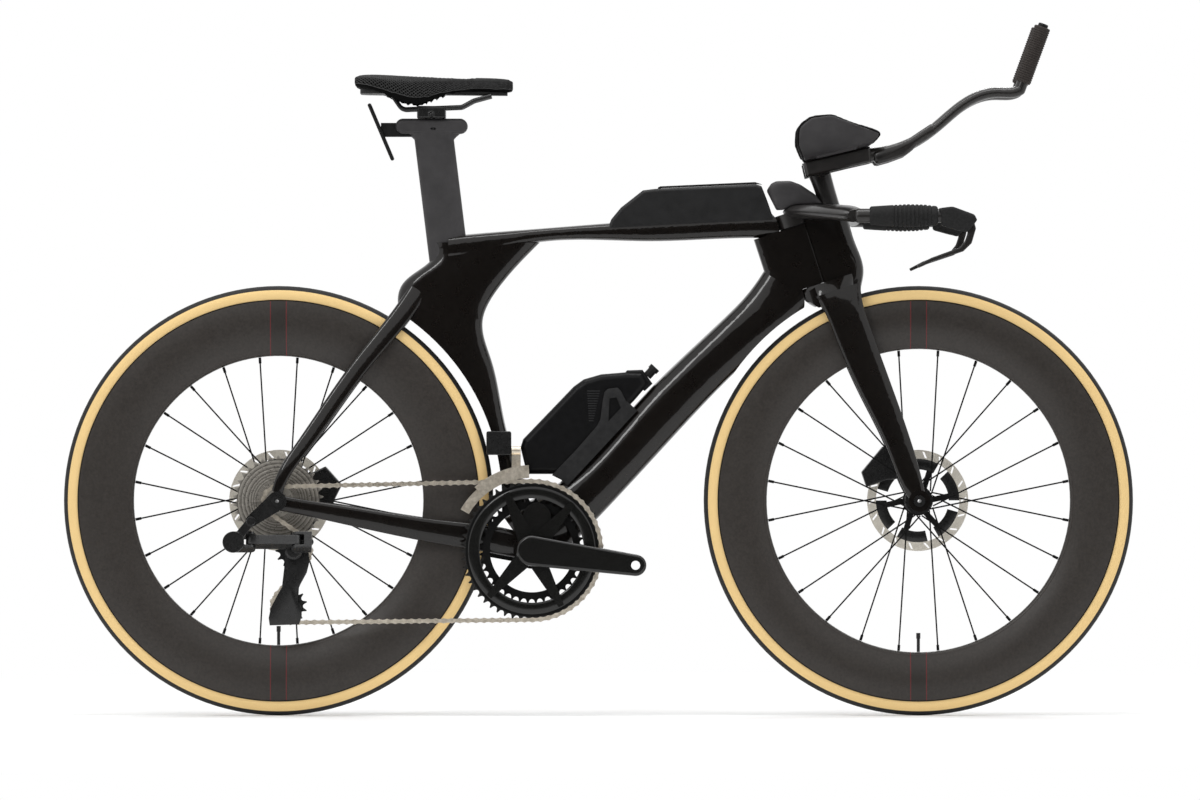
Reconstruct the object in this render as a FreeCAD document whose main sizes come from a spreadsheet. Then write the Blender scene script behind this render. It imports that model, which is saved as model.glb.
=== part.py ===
import FreeCAD, Part
import math
import os
import re
from collections import namedtuple

import Sketcher
from FreeCAD import Placement, Rotation, Vector

# Time trial bicycle, built as a bench assembly of separate pieces.
# Frame of the model: millimetres, +X forward, +Y to the left side, +Z up.
# The origin is on the ground, midway between the two wheel axles.
# Driving dimensions, kept in the sheet under these names.
SIZES = {
    # Clearances shared by all fits
    "clearance": 0.4,
    "fit_clearance": 0.05,
    "overrun": 10,
    # Wheels
    "wheelbase": 1010,
    "bead_seat_radius": 311,
    "tyre_section": 28,
    "bead_half_width": 10.2,
    "bead_wall": 2.7,
    "bead_drop": 2.4,
    "tread_wall": 2.8,
    "sidewall_start": 4.7,
    "hook_height": 4.3,
    "rim_edge_half_width": 13.6,
    "rim_flank_half_width": 15.2,
    "rim_flank_drop": 32,
    "front_rim_depth": 76,
    "rear_rim_depth": 87,
    "rim_nose_half_width": 6.5,
    "rim_nose_height": 6,
    "spoke_width": 2.4,
    "spoke_depth": 1.1,
    "nipple_radius": 2.2,
    "nipple_length": 9,
    "spoke_head_offset": 1.6,
    "valve_radius": 2.6,
    "valve_length": 30,
    "valve_cap_radius": 3.4,
    "valve_cap_length": 9,
    "axle_radius": 6,
    "axle_bore_radius": 3,
    "axle_head_length": 4,
    "axle_head_radius": 9,
    "front_hub_width": 100,
    "rear_hub_width": 142,
    "hub_core_radius": 12,
    "hub_end_radius": 9.5,
    "hub_end_length": 9,
    "front_left_flange": 21,
    "front_right_flange": 33,
    "rear_left_flange": 32,
    "rear_right_flange": 13,
    "flange_radius": 22,
    "flange_thickness": 4,
    "rotor_radius": 80,
    "rotor_band": 14,
    "rotor_thickness": 1.8,
    "rotor_seat_radius": 17,
    "rotor_carrier_radius": 24,
    "rotor_arm_width": 9,
    "rotor_slot_width": 3,
    "front_rotor_side": 34,
    "rear_rotor_side": 55,
    # Frame geometry
    "chainstay_run": 400,
    "bb_drop": 78,
    "head_angle": 72,
    "fork_rake": 52,
    "top_tube_width": 38,
    "seat_panel_width": 38,
    "down_tube_width": 52,
    "head_width": 40,
    "head_nose_radius": 25,
    "head_depth": 68,
    "head_bottom": 357,
    "head_length": 98,
    "steerer_radius": 12,
    "bearing_radius": 17,
    "bearing_height": 8,
    "steering_gap": 1.4,
    "bar_room": 5.6,
    "rear_wheel_gap": 14,
    "front_wheel_gap": 15,
    "bb_shell_radius": 29,
    "bb_shell_width": 68,
    "bb_cup_radius": 21,
    "bb_cup_width": 6,
    "spindle_radius": 12,
    "stay_depth": 28,
    "stay_thickness": 13,
    "stay_end_thickness": 8,
    "dropout_radius": 17,
    "dropout_thickness": 8,
    "hanger_thickness": 7,
    "hanger_bolt_back": 40,
    "hanger_bolt_drop": 31,
    "hanger_bolt_radius": 7,
    # Seatpost and saddle
    "post_angle": 7,
    "post_chord": 62,
    "post_thickness": 27,
    "post_insert": 90,
    "post_travel_down": 30,
    "post_rise": 191,
    "post_head_length": 114,
    "post_head_height": 28,
    "post_head_width": 30,
    "saddle_rise": 68,
    "saddle_length": 252,
    "saddle_width": 138,
    "saddle_cover_depth": 20,
    "saddle_base_depth": 8,
    "saddle_reach": 130,
    "rail_drop": 54,
    "saddle_channel_width": 22,
    "saddle_channel_depth": 9,
    "rail_radius": 3.5,
    "rail_spacing": 44,
    "rail_bend": 14,
    "rail_clamp_length": 46,
    "rail_clamp_width": 56,
    "rail_clamp_height": 20,
    "rail_bolt_radius": 3.5,
    "bracket_reach": 80,
    "bracket_drop": 21,
    "bracket_lean": 23,
    "bracket_arm_length": 30,
    "bracket_plate": 6,
    "bracket_width": 30,
    "bracket_length": 97,
    "bracket_arm_height": 22,
    "bracket_hole_spacing": 64,
    "bracket_hole_radius": 2.6,
    # Drive
    "chain_pitch": 12.7,
    "roller_radius": 3.88,
    "pin_radius": 1.75,
    "pin_clearance": 0.15,
    "gullet_clearance": 0.22,
    "tooth_height": 2.6,
    "tooth_tip": 1.8,
    "sprocket_thickness": 1.7,
    "link_inner_width": 2.1,
    "link_plate": 0.7,
    "link_plate_gap": 0.06,
    "link_height": 8.2,
    "link_waist": 5.4,
    "ring_side": 46.5,
    "ring_spacing": 7,
    "ring_rim_radius": 90,
    "ring_rim_thickness": 3.4,
    "ring_tooth_depth": 6,
    "inner_ring_bore_radius": 66,
    "crank_length": 165,
    "crank_angle": 8,
    "crank_boss_radius": 24,
    "crank_end_radius": 17,
    "crank_thickness": 14,
    "crank_face_side": 73,
    "spider_width": 30,
    "spider_tip_width": 9,
    "spider_thickness": 8,
    "spider_radius": 99,
    "ring_bolt_radius": 5,
    "ring_bolt_circle": 73,
    "pod_radius": 22,
    "pod_offset": 54,
    "pedal_thread_radius": 7.14,
    "cog_side": 60,
    "cog_spacing": 3.6,
    "cog_bore_radius": 15,
    "spacer_radius": 18,
    "guide_forward": 26,
    "guide_drop": 78,
    "cage_length": 87,
    "cage_lean": 9,
    "cage_plate": 1.6,
    "cage_half_gap": 4,
    "cage_top_radius": 12,
    "cage_low_radius": 14,
    "pulley_bore_radius": 3,
    "cage_pivot_radius": 5,
    "cage_pivot_length": 12,
    "link_pivot_back": 41,
    "link_pivot_drop": 64,
    "link_pivot_side": 92,
    "link_arm_length": 72,
    "link_arm_width": 18,
    "link_arm_radius": 8,
    "link_pivot_radius": 3,
    "link_ear": 6,
    "link_slant": 35,
    "knuckle_radius": 14,
    "knuckle_block": 13,
    "motor_radius": 17,
    "motor_length": 26,
    # Steering and cockpit
    "crown_half_width": 36,
    "crown_front": 72,
    "blade_front": 83,
    "leg_thickness": 13,
    "fork_dropout_radius": 17,
    "fork_tyre_gap": 7,
    "bar_lift": 11.1,
    "cockpit_reach": 400,
    "bar_thickness": 24,
    "bar_half_width": 203,
    "horn_radius": 11,
    "horn_length": 144,
    "horn_plug": 15,
    "grip_length": 106,
    "grip_swell": 18,
    "lever_body_width": 27,
    "lever_body_round": 4,
    "lever_pivot_radius": 2.2,
    "lever_width": 9,
    "lever_round": 2,
    "cover_width": 46,
    "cover_round": 8,
    "mast_width": 30,
    "clamp_half_spread": 57,
    "clamp_beam_height": 18,
    "clamp_beam_chord": 38,
    "clamp_block_width": 32,
    "clamp_chamfer": 3,
    "extension_radius": 11,
    "extension_thickness": 17,
    "extension_width": 27,
    "pole_length": 105,
    "pole_angle": 70,
    "pole_radius": 9,
    "pole_web": 6,
    "pole_grip_radius": 13,
    "pole_grip_start": 12,
    "button_radius": 8,
    "button_height": 11,
    "button_socket": 8,
    "button_travel": 2,
    "cup_side": 72,
    "cup_length": 122,
    "cup_half_width": 42,
    "cup_wall": 3,
    "cup_floor": 1,
    "cup_round": 16,
    "cup_foot_length": 64,
    "cup_foot_width": 30,
    "cup_foot_shift": 15,
    "pad_thickness": 9,
    # Bottle, storage box, brakes and front derailleur
    "bottle_width": 46,
    "bottle_round": 10,
    "cage_wall": 3,
    "cage_lip": 8,
    "valve_stub_radius": 7,
    "valve_stub_length": 19,
    "box_width": 37,
    "box_round": 5,
    "box_wall": 2.4,
    "lid_barrel_radius": 2.6,
    "lid_pin_radius": 1.2,
    "caliper_thickness": 24,
    "caliper_slot": 4,
    "mech_cage_plate": 1.4,
    "mech_cage_gap": 12,
    "mech_cage_height": 20,
    "mech_cage_clearance": 2.6,
    "mech_rise": 150,
    "mech_back": 52,
    "mech_length": 40,
    "mech_height": 38,
    "mech_depth": 22,
    "mech_pin_radius": 3,
    "mech_eye_radius": 7,
    "mech_eye_length": 14,
}

# Counts and angles that carry no length
SPOKE_COUNT = 24
SPOKE_LEAN_DEGREES = 42
ROTOR_ARMS = 6
ROTOR_SLOTS = 18
OUTER_RING_TEETH = 54
INNER_RING_TEETH = 40
COG_TEETH = (11, 12, 13, 14, 15, 17, 19, 21, 24, 27, 30, 34)
PULLEY_TEETH = 13
SPIDER_DEGREES = (57, 122, -125, -54)
DRIFT_LEAD_LINKS = 4
LINK_ARC_DEGREES = 60
OVAL_STEPS = 12
LOFT_DEGREE = 3
RIGHT = -1
LEFT = 1
SIDES = (RIGHT, LEFT)
X_AXIS = Vector(1, 0, 0)
Y_AXIS = Vector(0, 1, 0)
Z_AXIS = Vector(0, 0, 1)

doc = FreeCAD.newDocument("time_trial_bicycle")
sheet = doc.addObject("Spreadsheet::Sheet", "Sizes")
for row, (alias, size) in enumerate(SIZES.items(), start=1):
    sheet.set(f"A{row}", alias)
    sheet.set(f"B{row}", str(size))
    sheet.setAlias(f"B{row}", alias)
doc.recompute()


class SheetReader:
    """Reads one driving dimension of the sheet by its name."""

    def __getattr__(self, alias):
        return float(sheet.get(alias))


S = SheetReader()
sub_parts = []


def keep(piece, label):
    """Name a finished document object as one sub-part."""
    piece.Label = label
    sub_parts.append(piece)
    return piece


def solid(label, shape):
    """A sub-part whose shape is worked out from the sheet."""
    piece = doc.addObject("Part::Feature", label)
    piece.Shape = shape
    return keep(piece, label)


def sub_part(label):
    """The shape of a finished sub-part."""
    return next(piece.Shape for piece in sub_parts if piece.Label == label)


def cell(text):
    """Turn a sum of size names into an expression on the sheet."""
    return re.sub(r"[a-z]\w*", r"Sizes.\g<0>", text)


def value(text):
    """The present value of a sum of size names."""
    total = 0.0
    for sign, factor, name in re.findall(r"([+-]?)\s*(?:([\d.]+)\s*\*\s*)?([a-z]\w*)", text):
        term = float(sheet.get(name)) * float(factor or 1)
        total += -term if sign == "-" else term
    return total


def pin_point(sketch, edge, end, point):
    """Hold one sketch point at named distances from the sketch's origin."""
    for axis_edge, kind, text in ((-2, "DistanceX", point[0]), (-1, "DistanceY", point[1])):
        if text == "0":
            sketch.addConstraint(Sketcher.Constraint("PointOnObject", edge, end, axis_edge))
            continue
        index = sketch.addConstraint(Sketcher.Constraint(kind, -1, 1, edge, end, value(text)))
        sketch.setExpression(f"Constraints[{index}]", cell(text))


def draw(sketch, outline):
    """A closed outline of named corners; a corner with a via point ends an arc."""
    corners = [Vector(value(p[0]), value(p[1]), 0) for p in outline]
    ends = []
    for index, point in enumerate(outline):
        start, end = corners[index - 1], corners[index]
        if len(point) == 2:
            ends.append((sketch.addGeometry(Part.LineSegment(start, end)), 1, 2))
            continue
        via = Vector(value(point[2]), value(point[3]), 0)
        arc = sketch.addGeometry(Part.Arc(start, via, end))
        leftward = (via - start).cross(end - start).z > 0
        ends.append((arc, 1, 2) if leftward else (arc, 2, 1))
        mark = sketch.addGeometry(Part.Point(via), True)
        sketch.addConstraint(Sketcher.Constraint("PointOnObject", mark, 1, arc))
        pin_point(sketch, mark, 1, point[2:])
    for index, point in enumerate(outline):
        edge, _, end = ends[index]
        following, start, _ = ends[(index + 1) % len(ends)]
        sketch.addConstraint(Sketcher.Constraint("Coincident", edge, end, following, start))
        pin_point(sketch, edge, end, point)


def sketch_on(body, role, name):
    """A sketch on one of the body's own origin planes."""
    sketch = body.newObject("Sketcher::SketchObject", name)
    plane = next(item for item in body.Origin.OriginFeatures if item.Role == role)
    sketch.AttachmentSupport = [(plane, "")]
    sketch.MapMode = "FlatFace"
    return sketch


def turned(label, outline, place):
    """A round piece turned about the Y axis from a (radius, side) outline."""
    body = doc.addObject("PartDesign::Body", label)
    sketch = sketch_on(body, "XY_Plane", label + "_section")
    draw(sketch, outline)
    turn = body.newObject("PartDesign::Revolution", label + "_turn")
    turn.Profile = sketch
    turn.ReferenceAxis = (sketch, ["V_Axis"])
    turn.Angle = 360
    body.Placement = Placement(place, Rotation())
    return keep(body, label)


def bar(radius, start, end):
    """A plain round bar between two points."""
    run = end - start
    return Part.makeCylinder(radius, run.Length, start, run)


def cross_bar(radius, centre, low_side, high_side):
    """A round bar along Y between two side distances, about a point."""
    low = Vector(centre.x, low_side, centre.z)
    high = Vector(centre.x, high_side, centre.z)
    return bar(radius, low, high)


def oval(centre, along, across, half_long, half_wide, squareness=2.4):
    """A smooth closed section, between an ellipse and a rectangle."""
    points = []
    for step in range(OVAL_STEPS):
        turn = 2 * math.pi * step / OVAL_STEPS
        cosine, sine = math.cos(turn), math.sin(turn)
        reach = (abs(cosine) ** squareness + abs(sine) ** squareness) ** (-1 / squareness)
        points.append(centre + along * (half_long * reach * cosine) + across * (half_wide * reach * sine))
    curve = Part.BSplineCurve()
    curve.interpolate(points, True)
    return Part.Wire(curve.toShape())


def loft(sections):
    """A smooth solid through closed sections."""
    return Part.makeLoft(sections, True, False, False, LOFT_DEGREE)


def polygon_prism(points, low_side, high_side):
    """A flat outline in the side view, made solid between two side distances."""
    corners = [Vector(p.x, low_side, p.z) for p in points]
    face = Part.Face(Part.makePolygon(corners + corners[:1]))
    return face.extrude(Y_AXIS * (high_side - low_side))


def hull_prism(start, end, start_radius, end_radius, low_side, high_side):
    """A bar with round ends of two radii, seen from the side."""
    run = Vector(end.x - start.x, 0, end.z - start.z)
    lean = math.asin((start_radius - end_radius) / run.Length)
    forward = run.normalize()
    normal = Vector(-forward.z, 0, forward.x)
    base = Vector(0, low_side, 0)
    tips = []
    for centre, radius in ((start, start_radius), (end, end_radius)):
        flat = Vector(centre.x, 0, centre.z) + base
        offsets = [normal * (hand * math.cos(lean)) + forward * math.sin(lean) for hand in SIDES]
        tips.append([flat + offset * radius for offset in offsets])
    back = Vector(start.x, 0, start.z) + base - forward * start_radius
    nose = Vector(end.x, 0, end.z) + base + forward * end_radius
    edges = [
        Part.LineSegment(tips[0][0], tips[1][0]).toShape(),
        Part.Arc(tips[1][0], nose, tips[1][1]).toShape(),
        Part.LineSegment(tips[1][1], tips[0][1]).toShape(),
        Part.Arc(tips[0][1], back, tips[0][0]).toShape(),
    ]
    return Part.Face(Part.Wire(edges)).extrude(Y_AXIS * (high_side - low_side))


def bent_rod(points, radius, bend):
    """A round rod along straight runs joined by tangent arcs."""
    edges = []
    start = points[0]
    for before, corner, after in zip(points, points[1:], points[2:]):
        come = (corner - before).normalize()
        leave = (after - corner).normalize()
        half_turn = come.getAngle(leave) / 2
        set_back = bend * math.tan(half_turn)
        first = corner - come * set_back
        last = corner + leave * set_back
        inward = (leave - come).normalize()
        middle = corner + inward * (bend / math.cos(half_turn) - bend)
        edges.append(Part.LineSegment(start, first).toShape())
        edges.append(Part.Arc(first, middle, last).toShape())
        start = last
    edges.append(Part.LineSegment(start, points[-1]).toShape())
    path = Part.Wire(edges)
    profile = Part.Wire(Part.makeCircle(radius, points[0], points[1] - points[0]))
    return path.makePipeShell([profile], True, False)


def mirrored(shape):
    """The same shape on the other side of the bicycle."""
    return shape.mirror(Vector(), Y_AXIS)


def both_sides(shape):
    """A right-hand shape with its left-hand twin, as two solids."""
    return Part.makeCompound([shape, mirrored(shape)])


# Main places, worked out from the driving dimensions
wheel_radius = S.bead_seat_radius + S.tyre_section
rear_axle = Vector(-S.wheelbase / 2, 0, wheel_radius)
front_axle = Vector(S.wheelbase / 2, 0, wheel_radius)
bottom_bracket = Vector(rear_axle.x + S.chainstay_run, 0, wheel_radius - S.bb_drop)
head_lean = 90 - S.head_angle
axis_trail = S.fork_rake / math.cos(math.radians(head_lean))
steering = Placement(front_axle - X_AXIS * axis_trail, Rotation(Y_AXIS, -head_lean))


def steer(ahead, side, up):
    """A point given along the steering axis and ahead of it."""
    return steering.multVec(Vector(ahead, side, up))


def placed(shape, place):
    """A copy of a shape, moved as a rigid piece."""
    copy = shape.copy()
    copy.Placement = place.multiply(copy.Placement)
    return copy


# The frame's run and rise, as shares of the head's reach and height from the axle line
FRAME_RUN_SHARE = 1.37077
FRAME_RISE_SHARE = 0.97058
head_foot = steer(0, 0, S.head_bottom)
head_top = steer(0, 0, S.head_bottom + S.head_length)
frame_run = FRAME_RUN_SHARE * (head_foot.x - bottom_bracket.x)
frame_rise = FRAME_RISE_SHARE * (head_top.z - wheel_radius)
bar_height = head_top.z + S.bar_lift


def frame_point(along_share, up_share, side=0.0):
    """A point on the frame, as shares of its run and its rise from the axle line."""
    run = frame_run if along_share > 0 else S.chainstay_run
    return Vector(bottom_bracket.x + along_share * run, side, wheel_radius + up_share * frame_rise)


# Wheels: tyre, rim, hub, spokes, rotor and valve, the same way front and rear
def make_tyre(label, axle):
    """An open-bottomed casing with its two beads in the rim's channel."""
    bead = "bead_seat_radius - bead_drop"
    shoulder = "bead_seat_radius + sidewall_start"
    crown = "bead_seat_radius + tyre_section"
    inner = "bead_half_width - bead_wall"
    turned(label, [
        (bead, "-bead_half_width"),
        (shoulder, "-bead_half_width"),
        (shoulder, "bead_half_width", crown, "0"),
        (bead, "bead_half_width"),
        (bead, inner),
        (shoulder, inner),
        (shoulder, "-bead_half_width + bead_wall", crown + " - tread_wall", "0"),
        (bead, "-bead_half_width + bead_wall"),
    ], axle)


def make_rim(label, axle, depth):
    """A deep section rim with a tyre channel and a rounded inner nose."""
    edge = "bead_seat_radius + hook_height"
    bed = "bead_seat_radius - bead_drop - clearance"
    hook = "bead_half_width + clearance"
    nose = edge + " - " + depth
    turned(label, [
        (edge, hook),
        (bed, hook),
        (bed, "-bead_half_width - clearance"),
        (edge, "-bead_half_width - clearance"),
        (edge, "-rim_edge_half_width"),
        (nose + " + rim_nose_height", "-rim_nose_half_width", edge + " - rim_flank_drop", "-rim_flank_half_width"),
        (nose + " + rim_nose_height", "rim_nose_half_width", nose, "0"),
        (edge, "rim_edge_half_width", edge + " - rim_flank_drop", "rim_flank_half_width"),
    ], axle)


def make_hub(label, axle, left_flange, right_flange, right_end, left_end):
    """A hub shell with two spoke flanges and a bore that runs on the axle."""
    bore = "axle_radius + fit_clearance"
    turned(label, [
        (bore, left_end),
        ("hub_end_radius", left_end),
        ("hub_end_radius", left_end + " - hub_end_length"),
        ("rotor_seat_radius - fit_clearance", left_end + " - hub_end_length"),
        ("rotor_seat_radius - fit_clearance", left_flange + " + flange_thickness"),
        ("flange_radius", left_flange + " + flange_thickness"),
        ("flange_radius", left_flange),
        ("hub_core_radius", left_flange + " - flange_thickness"),
        ("hub_core_radius", "-" + right_flange + " + flange_thickness"),
        ("flange_radius", "-" + right_flange),
        ("flange_radius", "-" + right_flange + " - flange_thickness"),
        ("hub_core_radius", "-" + right_flange + " - flange_thickness"),
        ("hub_core_radius", right_end),
        (bore, right_end),
    ], axle)


def spoke_shape(hub_point, rim_point):
    """One bladed spoke with its nipple at the rim end."""
    run = (rim_point - hub_point).normalize()
    flat = run.cross(Y_AXIS).normalize()
    thin = run.cross(flat)
    half_flat = flat * (S.spoke_width / 2)
    half_thin = thin * (S.spoke_depth / 2)
    corners = [half_flat, half_thin, half_flat * -1, half_thin * -1]
    loop = [hub_point + corner for corner in corners]
    blade = Part.Face(Part.makePolygon(loop + loop[:1])).extrude(rim_point - hub_point)
    return blade.fuse(bar(S.nipple_radius, rim_point - run * S.nipple_length, rim_point))


def make_spokes(label, axle, depth, left_flange, right_flange):
    """Crossed spokes to both flanges, half of them leaning each way."""
    rim_reach = S.bead_seat_radius + S.hook_height - depth - 1.5 * S.clearance
    hub_reach = S.flange_radius + S.spoke_width / 2 + S.clearance
    spokes = []
    for index in range(SPOKE_COUNT):
        rim_turn = math.radians((index + 0.5) * 360 / SPOKE_COUNT)
        side = LEFT if index % 2 else RIGHT
        lean = 1 if index % 4 < 2 else -1
        hub_turn = rim_turn + lean * math.radians(SPOKE_LEAN_DEGREES)
        flange = left_flange if side == LEFT else right_flange
        hub_side = side * (flange + S.flange_thickness / 2) + lean * S.spoke_head_offset
        hub_point = Vector(hub_reach * math.sin(hub_turn), hub_side, hub_reach * math.cos(hub_turn))
        rim_point = Vector(rim_reach * math.sin(rim_turn), 0, rim_reach * math.cos(rim_turn))
        spokes.append(spoke_shape(axle + hub_point, axle + rim_point))
    solid(label, Part.makeCompound(spokes))


def make_rotor(label, axle, side):
    """A disc brake rotor: slotted band, slanting arms and a hub seat."""
    body = doc.addObject("PartDesign::Body", label)
    rings = (
        ("rotor_radius", "rotor_radius - rotor_band", "band"),
        ("rotor_carrier_radius", "rotor_seat_radius", "seat"),
    )
    for outer, inner, part_name in rings:
        sketch = sketch_on(body, "XZ_Plane", f"{label}_{part_name}_outline")
        for radius in (outer, inner):
            circle = sketch.addGeometry(Part.Circle(Vector(), Z_AXIS, value(radius)))
            sketch.addConstraint(Sketcher.Constraint("Coincident", circle, 3, -1, 1))
            index = sketch.addConstraint(Sketcher.Constraint("Radius", circle, value(radius)))
            sketch.setExpression(f"Constraints[{index}]", cell(radius))
        pad = body.newObject("PartDesign::Pad", f"{label}_{part_name}")
        pad.Profile = sketch
        pad.Midplane = True
        pad.setExpression("Length", cell("rotor_thickness"))
        if part_name == "band":
            continue
        add_rotor_arms(body, label)
    cut_rotor_slots(body, label)
    body.Placement = Placement(axle + Y_AXIS * side, Rotation())
    keep(body, label)


def add_rotor_arms(body, label):
    """Slanting arms from the hub seat to the braking band."""
    sketch = sketch_on(body, "XZ_Plane", f"{label}_arm_outline")
    half = "0.5*rotor_arm_width"
    inner = "rotor_seat_radius + 0.1*rotor_arm_width"
    outer = "rotor_radius - 0.7*rotor_band"
    draw(sketch, [
        (inner, "-" + half),
        (outer, "0.8*rotor_arm_width"),
        (outer, "1.8*rotor_arm_width"),
        (inner, half),
    ])
    arm = body.newObject("PartDesign::Pad", f"{label}_arm")
    arm.Profile = sketch
    arm.Midplane = True
    arm.setExpression("Length", cell("rotor_thickness"))
    repeat(body, f"{label}_arms", arm, sketch, ROTOR_ARMS)


def cut_rotor_slots(body, label):
    """Slanting slots through the braking band."""
    sketch = sketch_on(body, "XZ_Plane", f"{label}_slot_outline")
    low = "rotor_radius - 0.85*rotor_band"
    high = "rotor_radius - 0.2*rotor_band"
    draw(sketch, [
        (low, "-rotor_slot_width"),
        (high, "rotor_slot_width"),
        (high, "2*rotor_slot_width"),
        (low, "0.1*rotor_slot_width"),
    ])
    slot = body.newObject("PartDesign::Pocket", f"{label}_slot")
    slot.Profile = sketch
    slot.Midplane = True
    slot.setExpression("Length", cell("2*rotor_thickness"))
    repeat(body, f"{label}_slots", slot, sketch, ROTOR_SLOTS)


def repeat(body, name, feature, sketch, count):
    """Repeat a feature evenly about the sketch's own normal."""
    pattern = body.newObject("PartDesign::PolarPattern", name)
    pattern.Originals = [feature]
    pattern.Axis = (sketch, ["N_Axis"])
    pattern.Angle = 360
    pattern.Occurrences = count
    body.Tip = pattern


def make_valve(label, axle, depth):
    """A valve stem and cap that stand out of the rim at the bottom of the wheel."""
    reach = S.bead_seat_radius + S.hook_height - depth
    foot = axle - Z_AXIS * (reach - S.clearance)
    stem = bar(S.valve_radius, foot, foot + Z_AXIS * S.valve_length)
    cap_start = foot + Z_AXIS * (S.valve_length - S.valve_cap_length)
    cap = bar(S.valve_cap_radius, cap_start, cap_start + Z_AXIS * S.valve_cap_length)
    solid(label, stem.fuse(cap))


def make_axle(label, axle, half_width):
    """A hollow through axle with a low head at each end."""
    reach = half_width + S.axle_head_length
    shaft = cross_bar(S.axle_radius, axle, -reach, reach)
    for side in SIDES:
        head = cross_bar(S.axle_head_radius, axle, side * half_width, side * reach)
        shaft = shaft.fuse(head)
    solid(label, shaft.cut(cross_bar(S.axle_bore_radius, axle, -reach - S.overrun, reach + S.overrun)))


make_tyre("front_tyre", front_axle)
make_tyre("rear_tyre", rear_axle)
make_rim("front_rim", front_axle, "front_rim_depth")
make_rim("rear_rim", rear_axle, "rear_rim_depth")
make_hub("front_hub", front_axle, "front_left_flange", "front_right_flange",
         "-0.5*front_hub_width + clearance", "0.5*front_hub_width - clearance")
make_hub("rear_hub", rear_axle, "rear_left_flange", "rear_right_flange",
         "-rear_right_flange - 1.5*flange_thickness", "0.5*rear_hub_width - clearance")
make_spokes("front_spokes", front_axle, S.front_rim_depth, S.front_left_flange, S.front_right_flange)
make_spokes("rear_spokes", rear_axle, S.rear_rim_depth, S.rear_left_flange, S.rear_right_flange)
make_rotor("front_rotor", front_axle, S.front_rotor_side)
make_rotor("rear_rotor", rear_axle, S.rear_rotor_side)
make_valve("front_valve", front_axle, S.front_rim_depth)
make_valve("rear_valve", rear_axle, S.rear_rim_depth)

# Frame: seat panel, top tube, down tube, head and bottom bracket shell in one moulding
# Each seat panel row: height share, rear edge share, front edge share
SEAT_PANEL_SHARES = (
    (0.97, -0.395, 0.02),
    (0.86, -0.458, -0.08),
    (0.76, -0.53, -0.16),
    (0.67, -0.512, -0.195),
    (0.57, -0.46, -0.175),
    (0.38, -0.338, -0.125),
    (0.14, -0.212, -0.058),
    (-0.05, -0.16, -0.01),
)
# Each top tube row: place along, top edge share, lower edge share
TOP_TUBE_SHARES = (
    (-0.33, 0.992, 0.9),
    (-0.16, 1.008, 0.93),
    (0.023, 1.023, 0.972),
    (0.23, 1.046, 0.977),
    (0.44, 1.066, 0.981),
    (0.64, 1.083, 0.985),
)
# Each down tube row: lower edge point, upper edge point, width as a share of the tube's width
DOWN_TUBE_SHARES = (
    (0.738, 0.86, 0.63, 0.94, 0.74),
    (0.715, 0.74, 0.567, 0.793, 0.78),
    (0.56, 0.53, 0.44, 0.607, 0.96),
    (0.42, 0.325, 0.282, 0.383, 1.0),
    (0.17, -0.067, 0.1, 0.098, 1.05),
    (0.1, -0.17, 0.02, 0.02, 1.12),
    (0.03, -0.27, -0.12, -0.05, 1.2),
)


def seat_panel():
    """The broad seat tube panel, a stack of flat oval sections."""
    sections = []
    for up, rear, front in SEAT_PANEL_SHARES:
        back, nose = frame_point(rear, up), frame_point(front, up)
        centre = (back + nose) * 0.5
        half_chord = (nose.x - back.x) / 2
        sections.append(oval(centre, X_AXIS, Y_AXIS, half_chord, S.seat_panel_width / 2, 3))
    return loft(sections)


def top_tube():
    """The top tube, shallow at the seat and deeper at the head."""
    sections = []
    for along, high, low in TOP_TUBE_SHARES:
        top, bottom = frame_point(along, high), frame_point(along, low)
        centre = (top + bottom) * 0.5
        sections.append(oval(centre, Z_AXIS, Y_AXIS, (top.z - bottom.z) / 2, S.top_tube_width / 2, 3))
    return loft(sections)


def down_tube():
    """The deep down tube, widest where it meets the bottom bracket."""
    sections = []
    for low_along, low_up, high_along, high_up, width_share in DOWN_TUBE_SHARES:
        low, high = frame_point(low_along, low_up), frame_point(high_along, high_up)
        depth = high - low
        half_depth = depth.Length / 2
        half_width = S.down_tube_width * width_share / 2
        sections.append(oval((low + high) * 0.5, depth.normalize(), Y_AXIS, half_depth, half_width, 2.8))
    return loft(sections)


def head_block():
    """The head, about the steering axis, from the lower to the upper bearing."""
    sections = []
    rear_reach = S.head_depth
    for up in (S.head_bottom, S.head_bottom + S.head_length / 2, S.head_bottom + S.head_length):
        centre = Vector((S.head_nose_radius - rear_reach) / 2, 0, up)
        half = (S.head_nose_radius + rear_reach) / 2
        sections.append(oval(centre, X_AXIS, Y_AXIS, half, S.head_width / 2, 4))
    nose = Part.makeCylinder(S.head_nose_radius, S.head_length, Vector(0, 0, S.head_bottom))
    flank = Part.makeBox(2 * S.head_nose_radius, S.head_width, S.head_length,
                         Vector(-S.head_nose_radius, -S.head_width / 2, S.head_bottom))
    return placed(loft(sections).fuse(nose.common(flank)), steering)


def steering_room():
    """The space that the turning fork and bar need in front of and round the head."""
    top = S.head_bottom + S.head_length
    outer = S.head_nose_radius + S.steering_gap
    wide = S.head_nose_radius + S.bar_room
    far = 4 * S.head_depth
    front = Part.makeBox(far, far, S.head_length + S.steering_gap, Vector(0, -far / 2, S.head_bottom))
    core = Part.makeCylinder(S.head_nose_radius, S.head_length + S.steering_gap, Vector(0, 0, S.head_bottom))
    above = Part.makeCylinder(wide, far, Vector(0, 0, top))
    above_front = Part.makeBox(far, far, far, Vector(0, -far / 2, top))
    below = Part.makeCylinder(outer, far, Vector(0, 0, S.head_bottom - far))
    below_front = Part.makeBox(far, far, far, Vector(0, -far / 2, S.head_bottom - far))
    room = front.cut(core).fuse([above, above_front, below, below_front])
    return placed(room, steering)


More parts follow.
